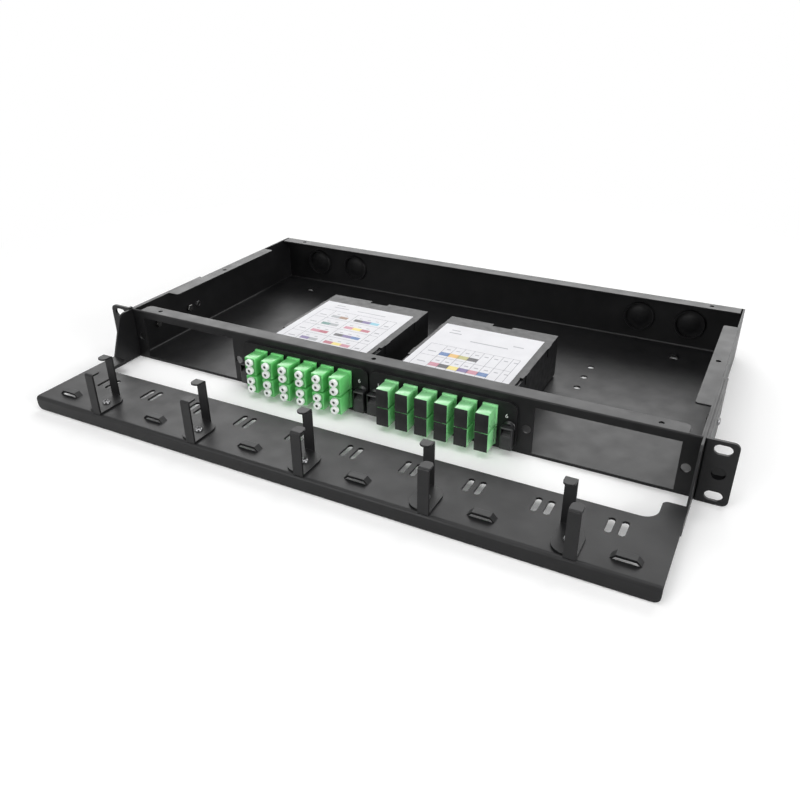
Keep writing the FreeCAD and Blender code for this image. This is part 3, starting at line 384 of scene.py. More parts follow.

# %% [markdown]
# ## From a mesh to a piece
# Every finer piece starts as a bmesh. Smooth shading with hard lines at the true edges suits turned and
# moulded shapes alike, so one helper shades the mesh and puts it into the scene, with its finish, the body
# that it moves with, and the solids that it replaces.

# %% Put a piece in the scene
HARD_EDGE = math.radians(35)


def smoothed(mesh):
    """Smooth shading, with a hard line wherever two faces meet at more than the hard edge's angle."""
    for face in mesh.faces:
        face.smooth = True
    for edge in mesh.edges:
        edge.smooth = len(edge.link_faces) == 2 and edge.calc_face_angle() < HARD_EDGE


def piece(name, mesh, paint, body="panel", stands_for=()):
    """An object made of a bmesh, which is used up, with its finish and on its body."""
    smoothed(mesh)
    data = bpy.data.meshes.new(name)
    mesh.to_mesh(data)
    mesh.free()
    data.materials.append(paint)
    made = bpy.data.objects.new(name, data)
    scene.collection.objects.link(made)
    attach(made, body)
    if stands_for:
        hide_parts(*stands_for)
    return made


# %% [markdown]
# ## Adapters
# Each adapter is a moulded housing that passes through the faceplate and stops on a collar. The solid has
# sharp edges, so the finer housing is four rounded blocks: the nose, a slightly thinner neck that leaves a
# dark groove, the collar, and the part behind the plate. The nose's front is inset and pushed back, which
# leaves its thin rim.

# %% Mould the adapters
FRONT_OF_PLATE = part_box("module_faceplate_lc")[0].y
COLLAR = 2.0
NECK = 0.7
COLLAR_STEP = 0.5
NECK_STEP = 0.95


def moulded(mesh, low, high, rounding, segments=2):
    """A block with all its edges rounded by that many millimetres."""
    size = high - low
    block = bmesh.ops.create_cube(mesh, size=1.0, matrix=Matrix.Translation((low + high) / 2)
                                  @ Matrix.Diagonal((size.x, size.y, size.z, 1.0)))
    edges = list({e for v in block["verts"] for e in v.link_edges})
    bmesh.ops.bevel(mesh, geom=edges, offset=rounding * MM, segments=segments, profile=0.5,
                    affect="EDGES", material=-1)


def adapter(node, rim, recess, paint):
    """The housing of one adapter, with a rim of that width round a front that lies that far back."""
    low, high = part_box(node)
    margin = Vector((COLLAR_STEP, 0, COLLAR_STEP)) * MM
    sunk = Vector((NECK_STEP, 0, NECK_STEP)) * MM
    collar_front = FRONT_OF_PLATE - COLLAR * MM
    nose_end = collar_front - NECK * MM
    mesh = bmesh.new()
    moulded(mesh, low + margin, Vector((high.x, nose_end, high.z)) - margin, rounding=0.35)
    front = min(mesh.faces, key=lambda f: f.calc_center_median().y)
    bmesh.ops.inset_region(mesh, faces=[front], thickness=rim * MM, depth=0.0)
    bmesh.ops.translate(mesh, verts=front.verts, vec=(0, recess * MM, 0))
    moulded(mesh, Vector((low.x, nose_end - MM, low.z)) + sunk,
            Vector((high.x, collar_front + MM, high.z)) - sunk, rounding=0.2)
    moulded(mesh, Vector((low.x, collar_front, low.z)), Vector((high.x, FRONT_OF_PLATE, high.z)),
            rounding=0.3)
    moulded(mesh, Vector((low.x, FRONT_OF_PLATE - MM, low.z)) + margin, high - margin, rounding=0.35)
    return piece(node + "_moulded", mesh, paint, stands_for=[node])


numbers = ["%02d" % n for n in range(1, 13)]
lc_adapters = [adapter("lc_adapter_" + n, rim=0.8, recess=0.9, paint=duplex_green) for n in numbers]
sc_adapters = [adapter("sc_adapter_" + n, rim=0.35, recess=1.2, paint=simplex_green) for n in numbers]
print(len(lc_adapters), "duplex and", len(sc_adapters), "simplex adapters")

# %% [markdown]
# ## The solids of one node
# Identical small parts, such as the caps, share one node of the CAD model. A finer piece is measured from
# the solid that it stands for, so this helper finds the box of each solid: it merges a copy of the node's
# loose triangles, and walks along the edges from one vertex until it meets no new one.

# %% Find each solid's box
def boxes(node):
    """The box of each separate solid of a node, from left to right."""
    copy = bmesh.new()
    copy.from_mesh(frame["nodes"][node].data)
    bmesh.ops.remove_doubles(copy, verts=copy.verts, dist=0.001 * MM)
    waiting = set(copy.verts)
    found = []
    while waiting:
        edge_of_search = [waiting.pop()]
        solid = set(edge_of_search)
        while edge_of_search:
            near = {e.other_vert(v) for v in edge_of_search for e in v.link_edges} - solid
            solid |= near
            edge_of_search = list(near)
        waiting -= solid
        low = Vector([min(v.co[k] for v in solid) for k in range(3)])
        high = Vector([max(v.co[k] for v in solid) for k in range(3)])
        found.append((low, high))
    copy.free()
    return sorted(found, key=lambda pair: (round(pair[0].x, 5), pair[0].y, pair[0].z))


print(len(boxes("lc_dust_caps")), "round caps and", len(boxes("sc_dust_caps")), "square plugs")

# %% [markdown]
# ## Round dust caps
# A milky cap sits in each duplex port: a flat ring round a deep hole, on a short stem. It is round, so one
# lathe profile makes all of it with a spin, which takes far fewer steps than cutting a cylinder would. The
# faces inside the hole get the darker finish.

# %% Turn the round caps
FORWARD = Matrix.Rotation(math.radians(90), 4, "X")
REARWARD = Matrix.Rotation(math.radians(-90), 4, "X")
CAP_RADIUS = 2.95
BORE_RADIUS = 1.05
BORE_FLOOR = 0.3
STEM_RADIUS = 2.2
STEM = 0.9


def turned(mesh, profile, place, steps):
    """A profile of (radius, height) in millimetres spun once round, then put in its place."""
    line = [mesh.verts.new((radius * MM, 0, height * MM)) for radius, height in profile]
    edges = [mesh.edges.new(pair) for pair in zip(line, line[1:])]
    before = set(mesh.verts) - set(line)
    bmesh.ops.spin(mesh, geom=line + edges, cent=(0, 0, 0), axis=(0, 0, 1), angle=2 * math.pi,
                   steps=steps, use_merge=True)
    made = [v for v in mesh.verts if v not in before]
    bmesh.ops.remove_doubles(mesh, verts=made, dist=0.001 * MM)
    made = [v for v in mesh.verts if v not in before]
    faces = list({f for v in made for f in v.link_faces})
    bmesh.ops.recalc_face_normals(mesh, faces=faces)
    bmesh.ops.transform(mesh, matrix=place, verts=made)
    return faces


caps = bmesh.new()
for low, high in boxes("lc_dust_caps"):
    middle = (low + high) / 2
    depth = (high.y - low.y) / MM
    faces = turned(caps, [(0, BORE_FLOOR), (BORE_RADIUS - 0.1, BORE_FLOOR), (BORE_RADIUS, depth - 0.2),
                          (BORE_RADIUS + 0.15, depth), (CAP_RADIUS - 0.35, depth),
                          (CAP_RADIUS - 0.1, depth - 0.25), (CAP_RADIUS, depth - 0.7), (CAP_RADIUS, 0.0),
                          (STEM_RADIUS, 0.0), (STEM_RADIUS, -STEM), (0, -STEM)],
                   Matrix.Translation((middle.x, high.y, middle.z)) @ FORWARD, steps=24)
    for face in faces:
        away = face.calc_center_median() - middle
        face.material_index = 1 if math.hypot(away.x, away.z) < BORE_RADIUS * MM else 0
round_caps = piece("round_dust_caps", caps, milky_plastic, stands_for=["lc_dust_caps"])
round_caps.data.materials.append(bore_shade)
print("caps", 2 * CAP_RADIUS, "mm across stand", round(depth, 2), "mm out")

# %% [markdown]
# ## Square dust plugs
# The simplex ports have square black plugs. Each is a block in the port with a thin head that covers most
# of the adapter's rim and has a shallow dish. The two rows of heads nearly meet, so a head reaches further
# towards the other row than away from it. A head's rounding stays under half its thickness, because a
# wider bevel would turn the block inside out.

# %% Mould the square plugs
HEAD_SIDE = 0.55
HEAD_INWARD = 1.15
HEAD_OUTWARD = 0.5
HEAD_ROUNDING = 0.15
HEAD_GAP = 0.02
BLOCK_START = 0.1
DISH_RIM = 0.9
DISH = 0.15

plugs = bmesh.new()
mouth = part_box("sc_adapter_01")[0].y
between = sum(corner.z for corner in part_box("sc_dust_caps")) / 2
for low, high in boxes("sc_dust_caps"):
    moulded(plugs, Vector((low.x, mouth - BLOCK_START * MM, low.z)), high, rounding=0.3)
    upper_row = low.z > between
    under, over = (HEAD_INWARD, HEAD_OUTWARD) if upper_row else (HEAD_OUTWARD, HEAD_INWARD)
    back = Vector((high.x, mouth - HEAD_GAP * MM, high.z))
    moulded(plugs, low - Vector((HEAD_SIDE, 0, under)) * MM, back + Vector((HEAD_SIDE, 0, over)) * MM,
            HEAD_ROUNDING)
    centre = Vector(((low.x + high.x) / 2, low.y, (low.z + high.z) / 2))
    front = min(plugs.faces, key=lambda f: (f.calc_center_median() - centre).length)
    bmesh.ops.inset_region(plugs, faces=[front], thickness=DISH_RIM * MM, depth=0.0)
    bmesh.ops.translate(plugs, verts=front.verts, vec=(0, DISH * MM, 0))
piece("square_dust_plugs", plugs, cap_plastic, stands_for=["sc_dust_caps"])
print("plugs stand", round((mouth - low.y) / MM, 2), "mm out of the adapters")

# %% [markdown]
# ## Cutting a hollow
# The grips have hollows and the screws have cross recesses. Such a cut follows no edge of the block, so
# inset and extrude can't make it. A Boolean modifier can, and it is applied straight away, so that each
# piece is a plain mesh.

# %% Cut one mesh out of another
def carved(solid, hollow):
    """What is left of one mesh after another one is cut out of it. Both are used up."""
    pair = []
    for name, shape in (("solid", solid), ("hollow", hollow)):
        data = bpy.data.meshes.new(name)
        shape.to_mesh(data)
        shape.free()
        pair.append(bpy.data.objects.new(name, data))
        scene.collection.objects.link(pair[-1])
    cut = pair[0].modifiers.new("cut", "BOOLEAN")
    cut.object = pair[1]
    cut.solver = "EXACT"
    cut.use_self = True
    shape = bpy.data.meshes.new_from_object(pair[0].evaluated_get(bpy.context.evaluated_depsgraph_get()))
    for part in pair:
        data = part.data
        bpy.data.objects.remove(part)
        bpy.data.meshes.remove(data)
    left = bmesh.new()
    left.from_mesh(shape)
    bpy.data.meshes.remove(shape)
    return left


# %% [markdown]
# ## Plungers
# A module is held by two plungers: a nylon grip on a pin, pushed through a grommet in the faceplate. The
# grip is a rounded block with a hollow for the fingertip, and the floor of the hollow climbs backwards and
# has ridges so that the finger doesn't slip. The block that cuts the hollow stands a little proud of the
# grip, because faces that coincide would leave a skin. The pin is turned. Every plunger slides on its own
# body.

# %% Mould the grips
GRIP_DEPTH = 4.9
GRIP_WALL = 0.9
GRIP_ROUNDING = 0.7
HOLLOW_DEPTH = 3.4
HOLLOW_SILL = 9.3
HOLLOW_CLIMB = 3.5
CUT_PROUD = 0.2
RIDGES = 4
RIDGE_HALF = 0.3
PIN_RADIUS = 1.5
PIN_ROOT = 0.6
PIN_CHAMFER = 0.4

grommet_low, grommet_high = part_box("plunger_grommets")
pin_level = (grommet_low.z + grommet_high.z) / 2
for n in range(1, 5):
    low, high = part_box("plunger_%d" % n)
    middle = (low + high) / 2
    back = low.y + GRIP_DEPTH * MM
    floor = low.z + HOLLOW_SILL * MM
    roof = high.z - GRIP_WALL * MM
    grip = bmesh.new()
    moulded(grip, low, Vector((high.x, back, high.z)), GRIP_ROUNDING, segments=3)
    hollow = bmesh.new()
    room_for_finger = bmesh.ops.create_cube(hollow, size=1.0, matrix=Matrix.Translation(
        (middle.x, low.y + (HOLLOW_DEPTH - CUT_PROUD) / 2 * MM, (floor + roof) / 2)) @ Matrix.Diagonal(
        (high.x - low.x - 2 * GRIP_WALL * MM, (HOLLOW_DEPTH + CUT_PROUD) * MM, roof - floor, 1.0)))
    for corner in room_for_finger["verts"]:
        if corner.co.y > low.y and corner.co.z < (floor + roof) / 2:
            corner.co.z += HOLLOW_CLIMB * MM
    mesh = carved(grip, hollow)
    half = Vector(((high.x - low.x) / 2 - 1.1 * GRIP_WALL * MM, RIDGE_HALF * MM, RIDGE_HALF * MM))
    for k in range(RIDGES):
        share = (k + 0.5) / RIDGES
        foot = Vector((middle.x, low.y + share * HOLLOW_DEPTH * MM, floor + share * HOLLOW_CLIMB * MM))
        moulded(mesh, foot - half, foot + half, RIDGE_HALF / 2, segments=1)
    reach = (high.y - back) / MM
    turned(mesh, [(0, -PIN_ROOT), (PIN_RADIUS, -PIN_ROOT), (PIN_RADIUS, reach - 2 * PIN_CHAMFER),
                  (PIN_RADIUS - PIN_CHAMFER, reach), (0, reach)],
           Matrix.Translation((middle.x, back, pin_level)) @ REARWARD, steps=24)
    piece("plunger_%d_moulded" % n, mesh, nylon, "plunger_%d_body" % n, ["plunger_%d" % n])
print("4 grips", round((high.x - low.x) / MM, 1), "mm wide")

# %% [markdown]
# ## Grommets
# Each plunger runs in a nylon grommet: a tube through the plate with a thin flange in front. It stays with
# the panel when the plunger is pulled. The profile goes round the whole section, so one spin makes the
# bore, the flange and the tail.

# %% Turn the grommets
GROMMET_BORE = 1.6
GROMMET_NOSE = 2.4
GROMMET_TUBE = 2.85
GROMMET_FLANGE = 4.15
GROMMET_RISE = 1.0

rings = bmesh.new()
for low, high in boxes("plunger_grommets"):
    middle = (low + high) / 2
    length = (high.y - low.y) / MM
    seat = length - GROMMET_RISE
    turned(rings, [(GROMMET_BORE, 0.0), (GROMMET_BORE, length - 0.2), (GROMMET_BORE + 0.3, length),
                   (GROMMET_NOSE, length), (GROMMET_NOSE + 0.5, length - 0.5),
                   (GROMMET_FLANGE - 0.25, length - 0.7), (GROMMET_FLANGE, seat), (GROMMET_TUBE, seat),
                   (GROMMET_TUBE, 0.0), (GROMMET_BORE, 0.0)],
           Matrix.Translation((middle.x, high.y, middle.z)) @ FORWARD, steps=28)
piece("turned_grommets", rings, nylon, stands_for=["plunger_grommets"])
print(len(boxes("plunger_grommets")), "grommets", 2 * GROMMET_FLANGE, "mm across")

# %% [markdown]
# ## Screws
# Pan-head screws hold the clips and the ears. The head and the plain shank are one lathe profile, and two
# crossed blades are carved out of the head for the driver. The clips' screws stand upright.

# %% Drive the clips' screws
HEAD_DOME = ((0.4, 0.97), (0.72, 0.82), (0.93, 0.5), (1.0, 0.12))  # shares of the radius and the rise
BLADE_LENGTH, BLADE_WIDTH, BLADE_DEPTH = 1.15, 0.26, 1.2  # shares of the radius, twice, and the rise
BLADE_TURN = 20
CLIP_HEAD, CLIP_SHANK = 1.8, 1.5


def pan_head(mesh, radius, rise, shank, reach, place):
    """A domed head with a cross recess on a plain shank, seated at height 0."""
    head = bmesh.new()
    turned(head, [(0, rise)] + [(r * radius, h * rise) for r, h in HEAD_DOME]
           + [(radius, 0.0), (shank, 0.0), (shank, -reach + 0.3), (0.8 * shank, -reach), (0, -reach)],
           Matrix.Identity(4), steps=28)
    blades = bmesh.new()
    blade = Matrix.Diagonal((BLADE_LENGTH * radius * MM, BLADE_WIDTH * radius * MM,
                             BLADE_DEPTH * rise * MM, 1.0))
    for turn in (0, 90):
        bmesh.ops.create_cube(blades, size=1.0, matrix=Matrix.Translation((0, 0, rise * MM))
                              @ Matrix.Rotation(math.radians(turn + BLADE_TURN), 4, "Z") @ blade)
    head = carved(head, blades)
    bmesh.ops.transform(head, matrix=place, verts=head.verts)
    finished = bpy.data.meshes.new("screw")
    head.to_mesh(finished)
    head.free()
    mesh.from_mesh(finished)
    bpy.data.meshes.remove(finished)


screws = bmesh.new()
for low, high in boxes("clip_screws"):
    middle = (low + high) / 2
    pan_head(screws, (high.x - low.x) / 2 / MM, CLIP_HEAD, CLIP_SHANK, (high.z - low.z) / MM - CLIP_HEAD,
             Matrix.Translation((middle.x, middle.y, high.z - CLIP_HEAD * MM)))
clip_screws = piece("clip_pan_screws", screws, dark_steel, stands_for=["clip_screws"])
print(len(boxes("clip_screws")), "clip screws with", len(clip_screws.data.polygons), "faces")

# %% [markdown]
# The ears' screws go in from the sides, so the same head is turned to the left or to the right. Its seat
# is found from the outer end of the solid.

# %% Drive the ears' screws
EAR_HEAD, EAR_SHANK = 1.6, 1.45

screws = bmesh.new()
for low, high in boxes("ear_screws"):
    middle = (low + high) / 2
    side = 1 if middle.x > 0 else -1
    seat = high.x - EAR_HEAD * MM if side > 0 else low.x + EAR_HEAD * MM
    outward = Matrix.Rotation(math.radians(90 * side), 4, "Y")
    pan_head(screws, (high.z - low.z) / 2 / MM, EAR_HEAD, EAR_SHANK, (high.x - low.x) / MM - EAR_HEAD,
             Matrix.Translation((seat, middle.y, middle.z)) @ outward)
ear_screws = piece("ear_pan_screws", screws, dark_steel, stands_for=["ear_screws"])
print(len(boxes("ear_screws")), "ear screws with", len(ear_screws.data.polygons), "faces")

# %% [markdown]
# ## Nuts
# The ears' screws end in hexagon nuts inside the walls. A cone operator with two equal radii and six sides
# makes the prism, and a bevel takes the sharp rims off both ends.

# %% Cut the nuts
NUT_CHAMFER = 0.35

nuts = bmesh.new()
for low, high in boxes("ear_nuts"):
    middle = (low + high) / 2
    across_flats = min(high.y - low.y, high.z - low.z)
    corner = across_flats / math.sqrt(3)
    prism = bmesh.ops.create_cone(nuts, cap_ends=True, segments=6, radius1=corner, radius2=corner,
                                  depth=high.x - low.x, matrix=Matrix.Translation(middle)
                                  @ Matrix.Rotation(math.radians(90), 4, "Y"))
    ends = [f for f in {f for v in prism["verts"] for f in v.link_faces} if len(f.verts) == 6]
    rims = list({e for f in ends for e in f.edges})
    bmesh.ops.bevel(nuts, geom=rims, offset=NUT_CHAMFER * MM, segments=1, profile=0.5, affect="EDGES",
                    material=-1)
piece("hex_nuts", nuts, zinc, stands_for=["ear_nuts"])
print("nuts", round(across_flats / MM, 1), "mm across their flats")

# %% [markdown]
# ## Collars of the spare holes
# Behind the nuts each wall has a spare hole with a low collar, which is the sheet drawn inwards to give a
# screw more thread. The collar is round, so it is turned, and its foot is sunk a little into the wall.

# %% Draw the collars
CHASSIS_GAUGE = 1.2
SPARE_HOLE = 74.2
HOLE_RADIUS = 1.75
COLLAR_RISE = 1.1
COLLAR_FOOT = 0.1

low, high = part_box("chassis_base")
nut_low, nut_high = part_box("ear_nuts")
collars = bmesh.new()
for side, wall in ((1, low.x + CHASSIS_GAUGE * MM), (-1, high.x - CHASSIS_GAUGE * MM)):
    inward = Matrix.Rotation(math.radians(90 * side), 4, "Y")
    spare = Matrix.Translation((wall, low.y + SPARE_HOLE * MM, (nut_low.z + nut_high.z) / 2))
    turned(collars, [(HOLE_RADIUS, -COLLAR_FOOT), (HOLE_RADIUS, COLLAR_RISE - 0.2),
                     (HOLE_RADIUS + 0.15, COLLAR_RISE), (HOLE_RADIUS + 0.45, COLLAR_RISE),
                     (HOLE_RADIUS + 0.75, COLLAR_RISE - 0.3), (HOLE_RADIUS + 1.05, -COLLAR_FOOT),
                     (HOLE_RADIUS, -COLLAR_FOOT)], spare @ inward, steps=24)
piece("spare_hole_collars", collars, dark_steel)
print("spare holes", SPARE_HOLE, "mm behind the front of the chassis")

# %% [markdown]
# ## The ears' dimples
# A round dimple is pressed into each ear between its two slots. The solid has a straight-sided recess
# there, and a crescent low down in it lies in shade and looks black. A ramp with a darker finish than the
# paint stands for that shade, so its darkness is painted shade. A triangle is spun through the lower part
# of the circle, which makes a ramp of even width, and the ramp's inner edge is then drawn out to the rim
# towards both ends.

# %% Press the dimples
RACK_SPAN = 465.1
DIMPLE = 4.2
DIMPLE_DEPTH = 1.25
RAMP = 2.3
RAMP_END = 0.1
RAMP_TOP = 0.02
RAMP_START, RAMP_SWEEP, RAMP_STEPS = math.radians(-170), math.radians(160), 20

# Near-black paint that hardly mirrors: painted shade for the black crescent in each dimple.
dimple_painted_shade = finish("dimple_painted_shade", (0.0015, 0.0015, 0.0017), (0.0025, 0.0025, 0.0028), tint=2.0,
                     gloss=(0.55, 0.65), gloss_grain=2.0, grain=0.4, lift=0.01, IOR=1.12)
for side in ("left", "right"):
    low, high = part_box("rack_ear_" + side)
    centre = Vector((RACK_SPAN / 2 * MM * (1 if side == "right" else -1), low.y, (low.z + high.z) / 2))
    mesh = bmesh.new()
    corners = [mesh.verts.new((radius * MM, depth * MM, 0)) for radius, depth in (
        (DIMPLE, RAMP_TOP), (DIMPLE - RAMP_END - RAMP, DIMPLE_DEPTH), (DIMPLE, DIMPLE_DEPTH))]
    bmesh.ops.rotate(mesh, verts=corners, matrix=Matrix.Rotation(-RAMP_START, 3, "Y"))
    section = mesh.faces.new(corners)
    bmesh.ops.spin(mesh, geom=[section], cent=(0, 0, 0), axis=(0, -1, 0), angle=RAMP_SWEEP,
                   steps=RAMP_STEPS)
    for corner in mesh.verts:
        radius = math.hypot(corner.co.x, corner.co.z)
        if radius < (DIMPLE - RAMP_END) * MM:
            swept = (math.atan2(corner.co.z, corner.co.x) - RAMP_START) / RAMP_SWEEP
            drawn = (DIMPLE - RAMP_END - RAMP * math.sin(math.pi * swept)) * MM / radius
            corner.co.x *= drawn
            corner.co.z *= drawn
    bmesh.ops.recalc_face_normals(mesh, faces=mesh.faces)
    bmesh.ops.translate(mesh, verts=mesh.verts, vec=centre)
    piece("ear_dimple_painted_shade_" + side, mesh, dimple_painted_shade)
print("dimples", RACK_SPAN, "mm apart")

# %% [markdown]
# ## Blanking plugs
# Four cable holes in the rear wall are closed with snap-in plugs: a rim and a shallow dish outside, and a
# skirt round a low dome inside. The profile goes round both faces of the plug.

# %% Turn the blanking plugs
OUTER_DISH = 0.45
RIM_THICKNESS = 1.2
SKIRT = 2.0
SKIRT_WALL = 1.2
INNER_DOME = ((8.4, 1.6), (7.0, 1.95), (5.5, 2.25), (3.8, 2.5), (2.0, 2.65), (0, 2.7))

closers = bmesh.new()
for low, high in boxes("rear_plugs"):
    middle = (low + high) / 2
    rim = (high.x - low.x) / 2 / MM
    length = (high.y - low.y) / MM
    skirt = rim - SKIRT
    inside = skirt - SKIRT_WALL
    outer_face = [(0, length - OUTER_DISH), (rim - 3.6, length - OUTER_DISH), (rim - 2.6, length),
                  (rim - 0.5, length), (rim, length - 0.5), (rim, length - RIM_THICKNESS)]
    inner_face = [(skirt, length - RIM_THICKNESS), (skirt, 0.6), (skirt - 0.4, 0.0), (inside, 0.0),
                  (inside, length - INNER_DOME[0][1])] + [(r, length - drop) for r, drop in INNER_DOME]
    turned(closers, outer_face + inner_face,
           Matrix.Translation((middle.x, low.y, middle.z)) @ REARWARD, steps=36)
blanking_plugs = piece("blanking_plugs", closers, plug_plastic, stands_for=["rear_plugs"])
print(len(blanking_plugs.data.polygons), "faces of blanking plugs")

# %% [markdown]
# ## The labels' ink
# A printed table on each cassette shows the order of the fibres by colour. One ink serves for all its
# fields, because it reads its colour from an attribute of the faces. A fine noise lets a little of the
# paper show through, as on a real print.

# %% Mix the inks
FIBRE_COLOURS = {
    "blue": (0.05, 0.14, 0.34), "orange": (0.7, 0.42, 0.1), "green": (0.06, 0.2, 0.17),
    "brown": (0.26, 0.15, 0.08), "slate": (0.32, 0.33, 0.35), "red": (0.38, 0.07, 0.11),
    "black": (0.025, 0.025, 0.03), "yellow": (0.75, 0.62, 0.16), "violet": (0.13, 0.09, 0.25),
    "rose": (0.5, 0.19, 0.25), "aqua": (0.2, 0.5, 0.62), "olive": (0.42, 0.4, 0.13),
}

ink = bpy.data.materials.new("label_ink")
ink.use_nodes = True
tree = ink.node_tree
surface = tree.nodes["Principled BSDF"]
surface.inputs["IOR"].default_value = 1.3
colour = tree.nodes.new("ShaderNodeAttribute")
colour.attribute_name = "ink"
fleck = tree.nodes.new("ShaderNodeMix")
fleck.data_type = "RGBA"
fleck.inputs["B"].default_value = (0.86, 0.86, 0.89, 1)
link(tree, colour.outputs["Color"], fleck.inputs["A"])
link(tree, spread(tree, noise(tree, 0.35), 0.0, 0.14), fleck.inputs["Factor"])
link(tree, fleck.outputs["Result"], surface.inputs["Base Color"])
link(tree, spread(tree, noise(tree, 4.0), 0.38, 0.5), surface.inputs["Roughness"])
link(tree, raised(tree, noise(tree, 0.2), 0.3, 0.005), surface.inputs["Normal"])
print(len(FIBRE_COLOURS), "inks")

# %% [markdown]
# ## The labels' print
# Print is flat, so each field of colour is a very thin block on the paper, measured from the label's front
# left corner. Ruled lines and grey bars stand where the lines and the small print are. One helper rules a
# frame, and the other makes the blocks and gives their faces the colours that the ink reads.

# %% Rule and print
INK_THICKNESS = 0.03
RULE, RULE_WIDTH = (0.2, 0.2, 0.23), 0.34
SMALL_PRINT = (0.34, 0.34, 0.37)


def ruled(left, front, width, depth, rows):
    """The lines of a frame that is cut into rows, as fields."""
    sides = [(left + width * k - RULE_WIDTH / 2, front, RULE_WIDTH, depth, RULE) for k in (0, 1)]
    return sides + [(left, front + depth * k / rows - RULE_WIDTH / 2, width, RULE_WIDTH, RULE)
                    for k in range(rows + 1)]


def printed(name, node, fields):
    """Blocks of ink on a label for fields of (left, front, width, depth, colour) in millimetres."""
    low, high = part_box(node)
    mesh = bmesh.new()
    shade_layer = mesh.faces.layers.float_color.new("ink")
    for left, front, width, depth, shade in fields:
        middle = Vector((low.x + (left + width / 2) * MM, low.y + (front + depth / 2) * MM,
                         high.z + INK_THICKNESS / 2 * MM))
        block = bmesh.ops.create_cube(mesh, size=1.0, matrix=Matrix.Translation(middle)
                                      @ Matrix.Diagonal((width * MM, depth * MM, INK_THICKNESS * MM, 1.0)))
        for face in {f for v in block["verts"] for f in v.link_faces}:
            face[shade_layer] = (*shade, 1.0)
    piece(name, mesh, ink)


label_low, label_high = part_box("cassette_label_lc")
print("labels", [round(v / MM, 1) for v in label_high - label_low], "mm")

# %% [markdown]
# The left label's table has four rows, each with two groups of colours and a grey bar behind every colour.
# Its title stands further back.

# %% Print the left label
CELL = 7.4
LC_FRONT, LC_DEPTH, LC_PITCH = 8.0, 62.0, 15.2
LC_RULES = (17.5, 38.6, 66.0)
LC_GROUPS = (20.0, 41.0)
LC_ROWS = (
    (("violet", "slate"), ("red", "yellow", "rose")),
    (("rose", "red"), ("black", "violet", "blue")),
    (("green", "slate"), ("rose", "yellow", "red")),
    (("slate", "brown"), ("black", "violet", "aqua")),
)
LC_TITLE = ((12.0, 76.0, 14.0), (34.0, 76.0, 26.0), (12.0, 80.5, 8.0))

fields = ruled(6.0, LC_FRONT, 68.0, LC_DEPTH, len(LC_ROWS))
fields += [(left, LC_FRONT, RULE_WIDTH, LC_DEPTH, RULE) for left in LC_RULES]
for row, groups in enumerate(LC_ROWS):
    front = LC_FRONT + LC_PITCH * row
    for start, names in zip(LC_GROUPS, groups):
        for column, shade in enumerate(names):
            left = start + CELL * column
            fields.append((left, front + 3.6, CELL, 4.4, FIBRE_COLOURS[shade]))
            fields.append((left + 2.2, front + 10.0, 2.8, 1.1, SMALL_PRINT))
    fields.append((9.0, front + 5.0, 6.0, 1.2, SMALL_PRINT))
    fields.append((68.0, front + 5.0, 4.0, 1.6, SMALL_PRINT))
fields += [(left, front, width, 1.1, SMALL_PRINT) for left, front, width in LC_TITLE]
printed("label_print_lc", "cassette_label_lc", fields)
print(len(fields), "fields of ink on the left label")

# %% [markdown]
# The right label has a smaller table of two rows and eight ruled columns. Only the first few columns of a
# row are coloured, but every column has a short grey bar. A few loose bars stand for the lines behind the
# table.

# %% Print the right label
SC_FRONT, SC_DEPTH = 8.0, 40.0
SC_LEFT, SC_COLUMNS = 18.0, 8
SC_ROWS = (
    ("rose", "black", "yellow", "violet", "rose", "blue"),
    ("blue", "orange", "olive", "black"),
)
COLOUR_PITCH, BAR_PITCH, SIDE_PITCH = 18.6, 20.0, 18.4
SC_TITLE = ((9.0, 76.0, 7.0), (9.0, 71.0, 10.0), (30.0, 62.0, 30.0), (62.0, 68.0, 8.0))

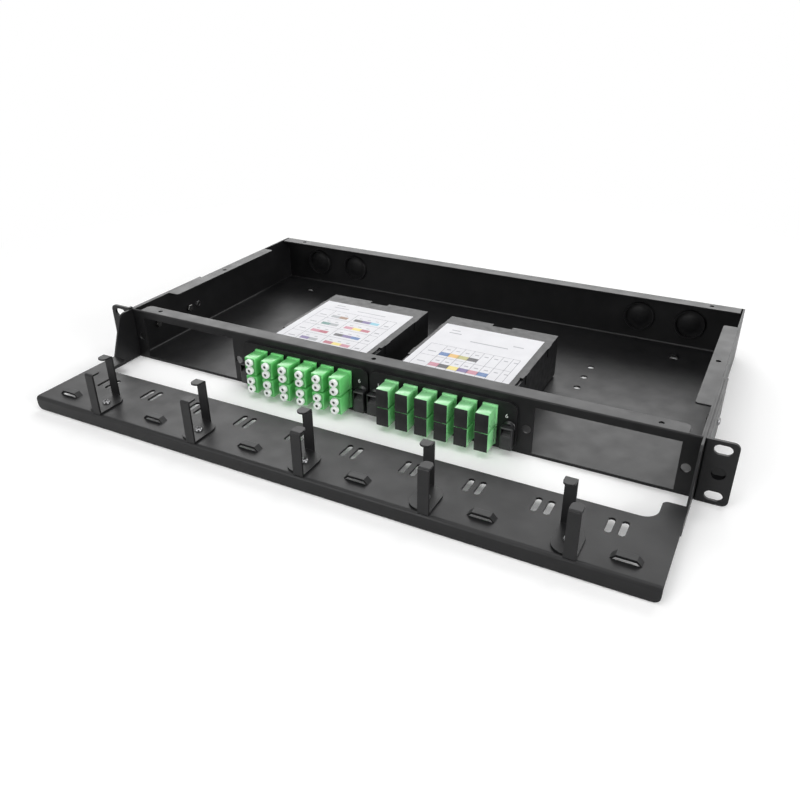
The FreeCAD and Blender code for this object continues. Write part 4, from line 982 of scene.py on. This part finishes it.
fields = ruled(5.0, SC_FRONT, 70.0, SC_DEPTH, len(SC_ROWS))
columns = [SC_LEFT + CELL * column for column in range(SC_COLUMNS)]
fields += [(left - RULE_WIDTH / 2, SC_FRONT, RULE_WIDTH, SC_DEPTH, RULE) for left in columns]
for row, names in enumerate(SC_ROWS):
    for left, shade in zip(columns, names):
        fields.append((left, SC_FRONT + 4.6 + COLOUR_PITCH * row, CELL, 5.6, FIBRE_COLOURS[shade]))
    for left in columns:
        fields.append((left + 2.2, SC_FRONT + 13.6 + BAR_PITCH * row, 3.0, 1.4, SMALL_PRINT))
    fields.append((8.0, SC_FRONT + 8.0 + SIDE_PITCH * row, 6.5, 1.4, SMALL_PRINT))
fields += [(left, front, width, 1.4, SMALL_PRINT) for left, front, width in SC_TITLE]
printed("label_print_sc", "cassette_label_sc", fields)
print(len(fields), "fields of ink on the right label")

# %% [markdown]
# ## The port numbers
# White numbers on the faceplates count the ports: the first and last of each row. A text object makes the
# outline, a slight extrusion gives the paint its body, and the mesh is then put on the plate.

# %% Print the port numbers
NUMBER_HEIGHT = 4.2
NUMBER_BODY = 0.02
NUMBER_REACH = 47.4
ROW_LEVEL = 7.4

port_white = finish("port_white", (0.74, 0.74, 0.74), (0.84, 0.84, 0.84), tint=0.8,
                    gloss=(0.4, 0.55), gloss_grain=0.6, grain=0.2, lift=0.01)


def numbered(mesh, number, x, z, face):
    """A number added to a mesh, with its middle at x and z on a plate's face."""
    words = bpy.data.curves.new("number", "FONT")
    words.body = number
    words.size = NUMBER_HEIGHT * MM
    words.extrude = NUMBER_BODY * MM
    words.resolution_u = 3
    words.align_x = "CENTER"
    words.align_y = "CENTER"
    holder = bpy.data.objects.new("number", words)
    scene.collection.objects.link(holder)
    shape = bpy.data.meshes.new_from_object(holder.evaluated_get(bpy.context.evaluated_depsgraph_get()))
    shape.transform(Matrix.Translation((x, face - NUMBER_BODY * MM, z)) @ FORWARD)
    mesh.from_mesh(shape)
    bpy.data.objects.remove(holder)
    bpy.data.curves.remove(words)
    bpy.data.meshes.remove(shape)


for module in ("lc", "sc"):
    low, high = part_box("module_faceplate_" + module)
    middle = (low + high) / 2
    mesh = bmesh.new()
    for number, side, row in (("1", -1, 1), ("7", -1, -1), ("6", 1, 1), ("12", 1, -1)):
        numbered(mesh, number, middle.x + side * NUMBER_REACH * MM, middle.z + row * ROW_LEVEL * MM, low.y)
    piece("port_numbers_" + module, mesh, port_white)
print("numbered 2 modules")
